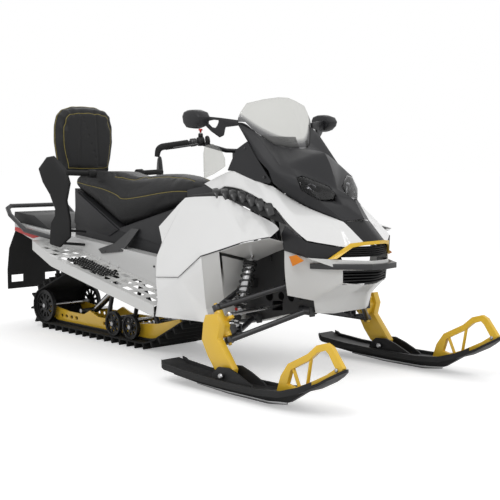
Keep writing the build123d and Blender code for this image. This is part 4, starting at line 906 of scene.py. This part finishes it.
BACK_OUTLINE = (
    (-168, 950), (-60, 944), (60, 944), (168, 950), (192, 1040), (208, 1140), (206, 1240), (188, 1306),
    (150, 1342), (90, 1356), (0, 1360), (-90, 1356), (-150, 1342), (-188, 1306), (-206, 1240), (-208, 1140),
    (-192, 1040),
)
BACK_DEPTHS = ((-1040, 0.86), (-1034, 0.96), (-1016, 1.0), (-986, 0.99), (-972, 0.94), (-966, 0.82))
BACK_MIDDLE = 1150


class SLED_OT_seat(bpy.types.Operator):
    """Pad the two-up seat, with its raised rear part, sewn channels and piping"""
    bl_idname = "sled.seat"
    bl_label = "Cushion"

    def execute(self, context):
        def held(p):
            return p.z < 0.70 + 0.12 * abs(p.x + 0.459) or abs(p.y) > 0.146 and p.z < 0.86
        seat = stuffed("seat_cushion", "seat", lambda made: loft(made, SEAT_SECTIONS), 0.008, held)
        border = mirrored(SEAT_FLANK) + [SEAT_SADDLE]
        rider = mirrored(SEAT_RIDER)
        sunk(seat, border, 0.012, 0.004)
        sunk(seat, rider, 0.009, 0.003)
        piping("seat_piping", seat, border + rider, 0.0016)
        return {"FINISHED"}


def back_ring(x, share):
    """The backrest's outline at a depth, drawn in to a share of its size, in millimetres."""
    return [(x, y * share, about(BACK_MIDDLE, z, share)) for y, z in BACK_OUTLINE]


class SLED_OT_backrest(bpy.types.Operator):
    """Pad the passenger backrest, with its bordered face and piping"""
    bl_idname = "sled.backrest"
    bl_label = "Backrest"

    def execute(self, context):
        def build(made):
            skin_rings(made, [millimetres(back_ring(x, share)) for x, share in BACK_DEPTHS])
        pad = stuffed("backrest_pad", "backrest", build, 0.012, lambda p: p.x < -1.028)
        border, edge = (ring + ring[:1] for ring in (back_ring(-955, 0.83), back_ring(-1012, 1.0)))
        channels = [
            [(-955, y * 1.15, 975), (-955, y, 1120), (-955, y * 0.95, 1240), (-955, y * 0.8, 1330)]
            for y in (-62, 62)
        ]
        sunk(pad, [border], 0.012, 0.005)
        sunk(pad, channels, 0.010, 0.004)
        piping("backrest_piping", pad, [border, edge], 0.0018)
        return {"FINISHED"}


# Screen and lamps

SCREEN_TOP = (
    (644, 246, 1228), (646, 228, 1262), (651, 196, 1302), (674, 112, 1322), (699, 32, 1334), (702, 0, 1334),
)
SCREEN_FOOT = (
    (640, 246, 1215), (671, 222, 1213), (697, 192, 1173), (762, 119, 1107), (805, 50, 1093), (812, 0, 1092),
)
LAMP_RIM = (
    (979, -192, 957), (978, -152, 965), (1047, -40, 913), (1081, -32, 875), (1083, -40, 845),
    (1066, -132, 850), (1012, -196, 899),
)


def screen_edge(half):
    """Even points along the whole of a screen edge, from its left half."""
    points = millimetres([(x, -y, z) for x, y, z in half] + list(reversed(half[:-1])))
    return [a.lerp(b, k / 6) for a, b in zip(points, points[1:]) for k in range(6)] + [points[-1]]


class SLED_OT_screen(bpy.types.Operator):
    """Draw the touring screen as one curved sheet, its lower border darkened with painted shade"""
    bl_idname = "sled.screen"
    bl_label = "Windshield"

    def execute(self, context):
        top, foot = screen_edge(SCREEN_TOP), screen_edge(SCREEN_FOOT)

        def build(made):
            rows = []
            for t in (k / 12 for k in range(13)):
                bow = 0.012 * math.sin(math.pi * t)
                rows.append([
                    a.lerp(b, t) + Vector((bow * (1 - abs(a.y) / 0.3), 0, 0)) for a, b in zip(foot, top)
                ])
            thick_sheet(made, rows, -0.004)
        sheet = new_piece("screen_sheet", "chassis", "Touring Screen", build)
        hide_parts("windshield")
        return {"FINISHED"}


class SLED_OT_lamps(bpy.types.Operator):
    """Fit each headlight with its bowl, two projectors and a smoked lens"""
    bl_idname = "sled.lamps"
    bl_label = "Headlights"

    def execute(self, context):
        middle = sum((Vector(p) for p in LAMP_RIM), Vector()) / len(LAMP_RIM)
        rim, centre = [about(middle, Vector(p), 0.965) / 1000 for p in LAMP_RIM], middle / 1000
        out = (rim[2] - rim[0]).cross(rim[4] - rim[0]).normalized()
        out = out if out.x > 0 else -out

        def ring(share, lift):
            return [p.lerp(centre, share) + out * lift for p in rim]

        def lens(made):
            crown = [(s, 0.001 + 0.012 * (1 - (1 - s) ** 2)) for s in (0, 0.15, 0.35, 0.6, 0.85)]
            skin_rings(made, [ring(s, lift) for s, lift in [(0, -0.003)] + crown])
        cover = new_piece("lamp_lenses", "chassis", "Smoked Lens", both_sides(lens))
        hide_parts("headlights")

        def bowls(made):
            for share, radius in ((0.34, 0.024), (0.66, 0.021)):
                at = rim[0].lerp(rim[3], share) * 0.5 + rim[6].lerp(rim[4], share) * 0.5 - out * 0.004
                bowl = [(0, 0.5), (0.55, 0.8), (1, 1), (0.98, 0.9), (0.6, 0.7)]
                turned(made, at - out * 0.02, at, [(t, radius * r) for t, r in bowl] + [(0.3, 0.004)], 24)
        new_piece("lamp_bowls", "chassis", "Lamp Chrome", both_sides(bowls))

        def backs(made):
            skin_rings(made, [ring(s, -d) for s, d in ((0, 0.004), (0.04, 0.012), (0.1, 0.026), (0.5, 0.03))])
        new_piece("lamp_backs", "chassis", "Black Moulding", both_sides(backs))
        return {"FINISHED"}


# Suspension and intakes

def coil(start, end, radius, turns, steps=22):
    """The path of a coil spring between two points, with its ends closed up."""
    along = end - start
    basis = along.to_track_quat("Z", "Y").to_matrix()
    path = []
    for k in range(int(turns * steps) + 1):
        t = k / (turns * steps)
        rise = t - 0.035 * math.sin(2 * math.pi * t)
        path.append(start + along * rise + basis @ Vector((*on_circle(k, steps, radius, radius), 0)))
    return path


DAMPER_TOP, DAMPER_FOOT = Vector((0.768, -0.262, 0.610)), Vector((0.792, -0.398, 0.279))
COLLAR_TOP = ((0, 0.024), (0.02, 0.032), (0.5, 0.033), (0.9, 0.032), (1, 0.026))
COLLAR_FOOT = ((0, 0.026), (0.1, 0.032), (0.9, 0.032), (1, 0.024))
BAND = (
    (0, 0.020), (0.04, 0.0225), (0.3, 0.0225), (0.34, 0.0205), (0.44, 0.0205), (0.48, 0.0225), (0.96, 0.0225),
    (1, 0.019),
)
BOOT = ((0, 0.017), *((0.06 + k * 0.11, 0.021 if k % 2 else 0.0175) for k in range(8)), (1, 0.016))
KNOB = ((0, 0.008), (0.6, 0.008), (1, 0.006))


def on_damper(share):
    """A point along the right damper, from its top to its foot."""
    return DAMPER_TOP.lerp(DAMPER_FOOT, share)


class SLED_OT_suspension(bpy.types.Operator):
    """Wind the front coil springs and dress the dampers with collars, bands, boots and knobs"""
    bl_idname = "sled.suspension"
    bl_label = "Suspension"

    def execute(self, context):
        wire = coil(on_damper(0.2), on_damper(0.72), 0.0285, 7.5)
        springs = tubes("coil_springs", "chassis", "Spring Coat", [wire], 0.0042)
        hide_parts("shock_springs")
        side = Vector((0.2, -1, -0.4)).normalized()
        at = on_damper(0.745)
        for name, finish, parts, sides in (
            ("spring_collars", "Black Moulding", ((0.15, 0.195, COLLAR_TOP), (0.725, 0.76, COLLAR_FOOT)), 36),
            ("damper_bands", "Machined Steel", ((0.775, 0.865, BAND),), 36),
            ("damper_boots", "Rubber", ((0.868, 0.935, BOOT),), 28),
        ):
            def build(made):
                for start, end, profile in parts:
                    turned(made, on_damper(start), on_damper(end), profile, sides)
            new_piece(name, "chassis", finish, both_sides(build))

        def knobs(made):
            turned(made, at + side * 0.030, at + side * 0.036, KNOB, 20)
        new_piece("adjuster_knobs", "chassis", "Red Plastic", both_sides(knobs))
        return {"FINISHED"}


class SLED_OT_louvres(bpy.types.Operator):
    """Raise the curved ribs of the side intakes"""
    bl_idname = "sled.louvres"
    bl_label = "Intake Ribs"

    def execute(self, context):
        def ribs(made):
            for t in (k / 6 for k in range(7)):
                drop = (12 if t < 0.5 else 12 - 50 * (t - 0.5)) - 34 * t * t
                top = Vector((526 + 374 * t, -279 - 12 * t, 884 + drop)) / 1000
                low = top + Vector((0.043, -0.011 - 0.008 * t, -0.042 - 0.010 * t))
                bulge = top.lerp(low, 0.45) + Vector((0.003, -0.010, 0.005))
                swept(made, [top, bulge, low], [(0.0185, 0.005), (0.0205, 0.006), (0.0185, 0.004)])
        new_piece("intake_ribs", "chassis", "Black Gloss Moulding", both_sides(ribs))
        return {"FINISHED"}


# Bars and mirrors

BAR_END, BAR_BEND = Vector((262, -385, 1100)) / 1000, Vector((332, -238, 1124)) / 1000
ALONG_BAR = (BAR_BEND - BAR_END).normalized()
MIRROR_HEAD = (
    (498, 1240), (506, 1206), (530, 1184), (566, 1180), (600, 1188), (628, 1210), (636, 1232), (620, 1256),
    (580, 1268), (540, 1268), (510, 1260),
)
MIRROR_DEPTHS = (
    (-404, 0.80), (-408, 0.93), (-420, 1.0), (-452, 0.99), (-468, 0.93), (-476, 0.80), (-479, 0.6),
)
ARM_RIM = (
    (0, 1222), (0, 1196), (0.38, 1188), (0.43, 1150), (0.55, 1140), (0.80, 1168), (1.02, 1202), (1.02, 1238),
    (0.55, 1232),
)
ARM_WINDOW = (
    (0.58, 1220), (0.58, 1212), (0.60, 1204), (0.62, 1196), (0.68, 1184), (0.78, 1188), (0.88, 1204),
    (0.88, 1216), (0.72, 1222),
)


def on_bar(length, x=0.0, y=0.0, z=0.0):
    """A point at a length along the right grip from its end, moved by an offset in metres."""
    return BAR_END + ALONG_BAR * length + Vector((x, y, z))


def hooks(made):
    """The right bar's end, bent down."""
    path = [on_bar(0.02), on_bar(-0.012), on_bar(-0.028, -0.004, 0, -0.012),
        on_bar(-0.03, -0.010, -0.002, -0.045)]
    swept(made, path, [0.0165, 0.0165, 0.0155, 0.012], sides=16)


def grips(made):
    """The right grip, with rings along it."""
    profile = [(0, 0.0155)]
    for k in range(14):
        profile += [
            (0.02 + k * 0.07, 0.0178), (0.045 + k * 0.07, 0.0178), (0.05 + k * 0.07, 0.0168),
            (0.065 + k * 0.07, 0.0168),
        ]
    turned(made, on_bar(0.004), on_bar(0.122), [p for p in profile if p[0] <= 1] + [(1, 0.016)])


def levers(made):
    """The right lever with its clamp and pivot."""
    root = on_bar(0.145, 0.012, 0, -0.004)
    knee = root + Vector((0.034, -0.012, -0.006))
    tip = on_bar(0.018, 0.046, -0.004, -0.010)
    middle = knee.lerp(tip, 0.5) + Vector((0.004, 0, 0))
    swept(made, [root, knee, middle, tip], [(0.007, 0.006), (0.007, 0.005), (0.006, 0.004), (0.006, 0.005)],
        sides=10)
    turned(made, on_bar(0.133), on_bar(0.162), [(0, 0.018), (0.05, 0.0205), (0.95, 0.0205), (1, 0.018)], 28)
    pivot = [root + Vector((0.004, 0, z)) for z in (-0.012, 0.014)]
    turned(made, *pivot, [(0, 0.006), (0.1, 0.0075), (0.9, 0.0075), (1, 0.006)], 18)


def blocks(made):
    """The right switch blocks."""
    for start, span in ((0.168, 0.044), (0.214, 0.02)):
        block = [(0, 0.016), (0.06, 0.021), (0.5, 0.024), (0.94, 0.021), (1, 0.016)]
        turned(made, on_bar(start), on_bar(start + span * 0.82), block, 24)
    turned(made, on_bar(0.186, z=0.02), on_bar(0.186, z=0.040), [(0, 0.012), (0.8, 0.012), (1, 0.009)], 24)


def stop_switch(made):
    """The red stop switch, on the right block alone."""
    profile = [(0, 0.005), (0.5, 0.005), (0.55, 0.010), (0.9, 0.010), (1, 0.007)]
    turned(made, on_bar(0.186, z=0.042), on_bar(0.186, z=0.062), profile, 24)


class SLED_OT_controls(bpy.types.Operator):
    """Shape the hooked bar ends, grips, levers and switch blocks"""
    bl_idname = "sled.controls"
    bl_label = "Bars"

    def execute(self, context):
        new_piece("grip_hooks", "steering", "Rubber", both_sides(hooks))
        handles = new_piece("ribbed_grips", "steering", "Rubber", both_sides(grips))
        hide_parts("grips")
        hand = new_piece("levers", "steering", "Black Gloss Moulding", both_sides(levers))
        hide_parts("hand_controls")
        new_piece("switch_blocks", "steering", "Black Moulding", both_sides(blocks))
        new_piece("stop_switch", "steering", "Red Plastic", stop_switch)
        return {"FINISHED"}


def mirror_head(made):
    """The right mirror's shell."""
    rings = []
    for y, s in MIRROR_DEPTHS:
        rings.append(millimetres([(about(568, x, s), y, about(1226, z, s)) for x, z in MIRROR_HEAD]))
    skin_rings(made, rings)


def mirror_arm(made):
    """The right mirror's flat arm, with a window in it."""
    root, end = Vector((0.648, -0.250, 0)), Vector((0.585, -0.404, 0))
    along = end - root
    across = Vector((-along.y, along.x, 0)).normalized() * 0.011
    flat = [[root + along * s + Vector((0, 0, z / 1000)) for s, z in ring] for ring in (ARM_RIM, ARM_WINDOW)]
    front = [[made.verts.new(p) for p in ring] for ring in flat]
    back = [[made.verts.new(p + across) for p in ring] for ring in flat]
    for i in range(len(ARM_RIM)):
        j = (i + 1) % len(ARM_RIM)
        made.faces.new((front[0][i], front[0][j], front[1][j], front[1][i]))
        made.faces.new((back[0][j], back[0][i], back[1][i], back[1][j]))
        made.faces.new((front[0][j], front[0][i], back[0][i], back[0][j]))
        made.faces.new((front[1][i], front[1][j], back[1][j], back[1][i]))


class SLED_OT_mirrors(bpy.types.Operator):
    """Model the mirrors' rounded shells and windowed arms"""
    bl_idname = "sled.mirrors"
    bl_label = "Mirrors"

    def execute(self, context):
        def shells(made):
            mirror_head(made)
            mirror_arm(made)
        shell = new_piece("mirror_shells", "chassis", "Charcoal Cowl", both_sides(shells))
        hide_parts("mirrors")
        soften_shading(rounded(shell, 0.002, 2, 40), 45)
        return {"FINISHED"}


# Skis, boards and fasteners

HEX_BOLT = ((0, 0.013), (0.25, 0.013), (0.3, 0.011), (0.9, 0.011), (1, 0.009))
ROUND_BOLT = ((0, 0.0085), (0.7, 0.0085), (1, 0.006))
STUD = ((0, 0.0088), (0.4, 0.0075), (1, 0.0045))
STUD_LEAN = Vector((0.002, 0, 0.009))
SCREWS = (
    ((-500, -211, 521), (0, -1, 0)), ((-372, -208, 535), (0, -1, 0)), ((-300, -158, 640), (0, -1, 0.2)),
    ((-60, -206, 470), (0, -1, 0)), ((-1180, -206, 590), (0, -1, 0)), ((-980, -206, 560), (0, -1, 0)),
    ((820, -244, 955), (0.1, -1, 0.1)), ((700, -253, 1090), (0.3, -1, 0.2)),
)
BRACKET = (
    ((-562, -210, 532), (-420, -197, 572), (-325, -152, 656)),
    ((-530, -210, 508), (-340, -205, 530), (-256, -152, 656)),
)


def board_height(x):
    """Top of the sloping running board, in millimetres."""
    return 502.5 - 0.1942 * (x + 700)


class SLED_OT_skis(bpy.types.Operator):
    """Add the ski loops' inner braces and the bolts at the legs' feet and the loops' ends"""
    bl_idname = "sled.skis"
    bl_label = "Ski Details"

    def execute(self, context):
        for side, y in (("right", -0.54), ("left", 0.54)):
            def braces(made):
                for (x, z), (u, w) in (((1.306, 0.176), (1.342, 0.100)), ((1.408, 0.232), (1.388, 0.120))):
                    swept(made, [(x, y, z), (u, y, w)], (0.0085, 0.007), sides=10)
            new_piece("loop_braces_" + side, "ski_" + side, "Yellow Moulding", braces)

            def bolts(made):
                for x, z, low, high, profile, sides in (
                    (0.914, 0.088, 0.055, 0.066, HEX_BOLT, 6), (1.556, 0.205, 0.0112, 0.0165, ROUND_BOLT, 18),
                    (1.30, 0.079, 0.0112, 0.0165, ROUND_BOLT, 18),
                ):
                    for way in (-1, 1):
                        turned(made, (x, y + way * low, z), (x, y + way * high, z), profile, sides)
            new_piece("ski_bolts_" + side, "ski_" + side, "Machined Steel", bolts)
        return {"FINISHED"}


class SLED_OT_details(bpy.types.Operator):
    """Add seat brackets, tunnel ribs, snow grips and body screws"""
    bl_idname = "sled.details"
    bl_label = "Brackets and Fasteners"

    def execute(self, context):
        size = context.scene.sled_sizes.screw_radius

        def brackets(made):
            thick_sheet(made, [millimetres(row) for row in BRACKET], 0.005)
        new_piece("seat_brackets", "chassis", "Black Gloss Moulding", both_sides(brackets), shade=False)

        def rib(made):
            swept(made, [(0, 0, 0), (0.095, 0, 0.040)], (0.0035, 0.008), sides=10)
        spots = [(at, UP) for at in millimetres([(88 * k - 735, -206.5, 452 - 14 * k) for k in range(4)])]
        copies("tunnel_ribs", "chassis", "Tunnel Sheet", rib, spots)

        def stud(made):
            turned(made, (0, 0, 0), (0, 0, STUD_LEAN.length), STUD, 6)
        grid = [(22 * i - 590, -300 - 24 * j) for i in range(16) for j in range(5)]
        spots = [(at, STUD_LEAN) for at in millimetres([(x, y, board_height(x) + 0.5) for x, y in grid])]
        copies("snow_grips", "chassis", "Black Moulding", stud, spots, shade=False)

        def head(made):
            profile = [(0, size), (0.5, size), (0.9, size * 0.8), (1, size * 0.5)]
            turned(made, (0, 0, -0.002), (0, 0, 0.004), profile, 18)
        spots = [(Vector(at) / 1000, way) for at, way in SCREWS]
        copies("body_screws", "chassis", "Black Coat", head, spots)
        return {"FINISHED"}


# Stage

def area_light(name, at, towards, power, size):
    """A square white lamp aimed at a point."""
    data = bpy.data.lights.new(name, "AREA")
    data.energy = power
    data.size = size
    lamp = linked(name, data)
    lamp.location = at
    lamp.rotation_euler = (Vector(towards) - Vector(at)).to_track_quat("-Z", "Y").to_euler()


def studio_world():
    """A white surround: plain light on the object, and full white where it is seen or mirrored."""
    world = bpy.context.scene.world = bpy.data.worlds.new("Studio")
    world.use_nodes = True
    tree = world.node_tree
    path = tree.nodes.new("ShaderNodeLightPath")
    seen = worked(tree, "MAXIMUM", path.outputs["Is Camera Ray"], path.outputs["Is Transmission Ray"])
    seen = worked(tree, "MAXIMUM", seen, path.outputs["Is Glossy Ray"])
    feed(tree, tree.nodes["Background"], {"Strength": ranged(tree, seen, 0.72, 1.0), "Color": (1, 1, 1, 1)})


class SLED_OT_studio(bpy.types.Operator):
    """Set the pale floor, the white backdrop, the lights and the camera"""
    bl_idname = "sled.studio"
    bl_label = "Studio"

    def execute(self, context):
        scene = context.scene
        scene.view_settings.view_transform = "Standard"
        floor_mesh = bpy.data.meshes.new("studio_floor")
        floor_mesh.from_pydata([(-60, -60, 0), (60, -60, 0), (60, 60, 0), (-60, 60, 0)], [], [(0, 1, 2, 3)])
        floor = linked("studio_floor", floor_mesh)
        floor_mesh.materials.append(floor_material())
        studio_world()
        area_light("key_light", (2.5, -3.5, 4.5), (0, 0, 0.5), 75, 2.2)
        area_light("fill_light", (4.5, 1.5, 2.5), (0.3, 0, 0.6), 14, 2.5)
        area_light("back_light", (-3.5, 2.5, 3.5), (-0.2, 0, 0.6), 24, 3.0)
        data = bpy.data.cameras.new("product_camera")
        data.lens = scene.sled_sizes.lens_mm
        data.sensor_width = 36
        camera = linked("product_camera", data)
        camera.location = (4.227, -3.525, 1.038)
        camera.rotation_euler = (math.radians(90 - 5.08), 0, math.radians(46.852))
        scene.camera = camera
        return {"FINISHED"}


def floor_material():
    """White floor that shows the backdrop to the camera and still takes a soft shadow."""
    tree, shader = new_material("Studio Floor")
    path = tree.nodes.new("ShaderNodeLightPath")
    feed(tree, shader, {
        "Base Color": (0.95, 0.95, 0.95, 1), "Roughness": 0.8, "Specular IOR Level": 0.0,
        "Emission Color": (1, 1, 1, 1),
        "Emission Strength": worked(tree, "MULTIPLY", path.outputs["Is Camera Ray"], 0.32),
    })
    return MATERIALS["Studio Floor"]


class SLED_PT_panel(bpy.types.Panel):
    """Lists the steps that dress the frame"""
    bl_idname = "SLED_PT_panel"
    bl_label = "Snowmobile"
    bl_space_type = "VIEW_3D"
    bl_region_type = "UI"
    bl_category = "Sled"

    def draw(self, context):
        for group in (context.scene.sled_colours, context.scene.sled_sizes):
            for name in group.__annotations__:
                self.layout.prop(group, name)
        for step in STEPS:
            self.layout.operator(step.bl_idname)


STEPS = (
    SLED_OT_finishes, SLED_OT_edges, SLED_OT_bodywork, SLED_OT_deflectors,
    SLED_OT_seat, SLED_OT_backrest, SLED_OT_screen, SLED_OT_lamps,
    SLED_OT_suspension, SLED_OT_louvres, SLED_OT_controls, SLED_OT_mirrors,
    SLED_OT_skis, SLED_OT_details, SLED_OT_studio,
)
CLASSES = (SledColours, SledSizes, *STEPS, SLED_PT_panel)


def register():
    for cls in CLASSES:
        bpy.utils.register_class(cls)
    bpy.types.Scene.sled_colours = bpy.props.PointerProperty(type=SledColours)
    bpy.types.Scene.sled_sizes = bpy.props.PointerProperty(type=SledSizes)


def unregister():
    del bpy.types.Scene.sled_sizes
    del bpy.types.Scene.sled_colours
    for cls in reversed(CLASSES):
        bpy.utils.unregister_class(cls)


def main():
    register()
    for step in STEPS:
        group, name = step.bl_idname.split(".")
        getattr(getattr(bpy.ops, group), name)()


if __name__ == "__main__":
    main()
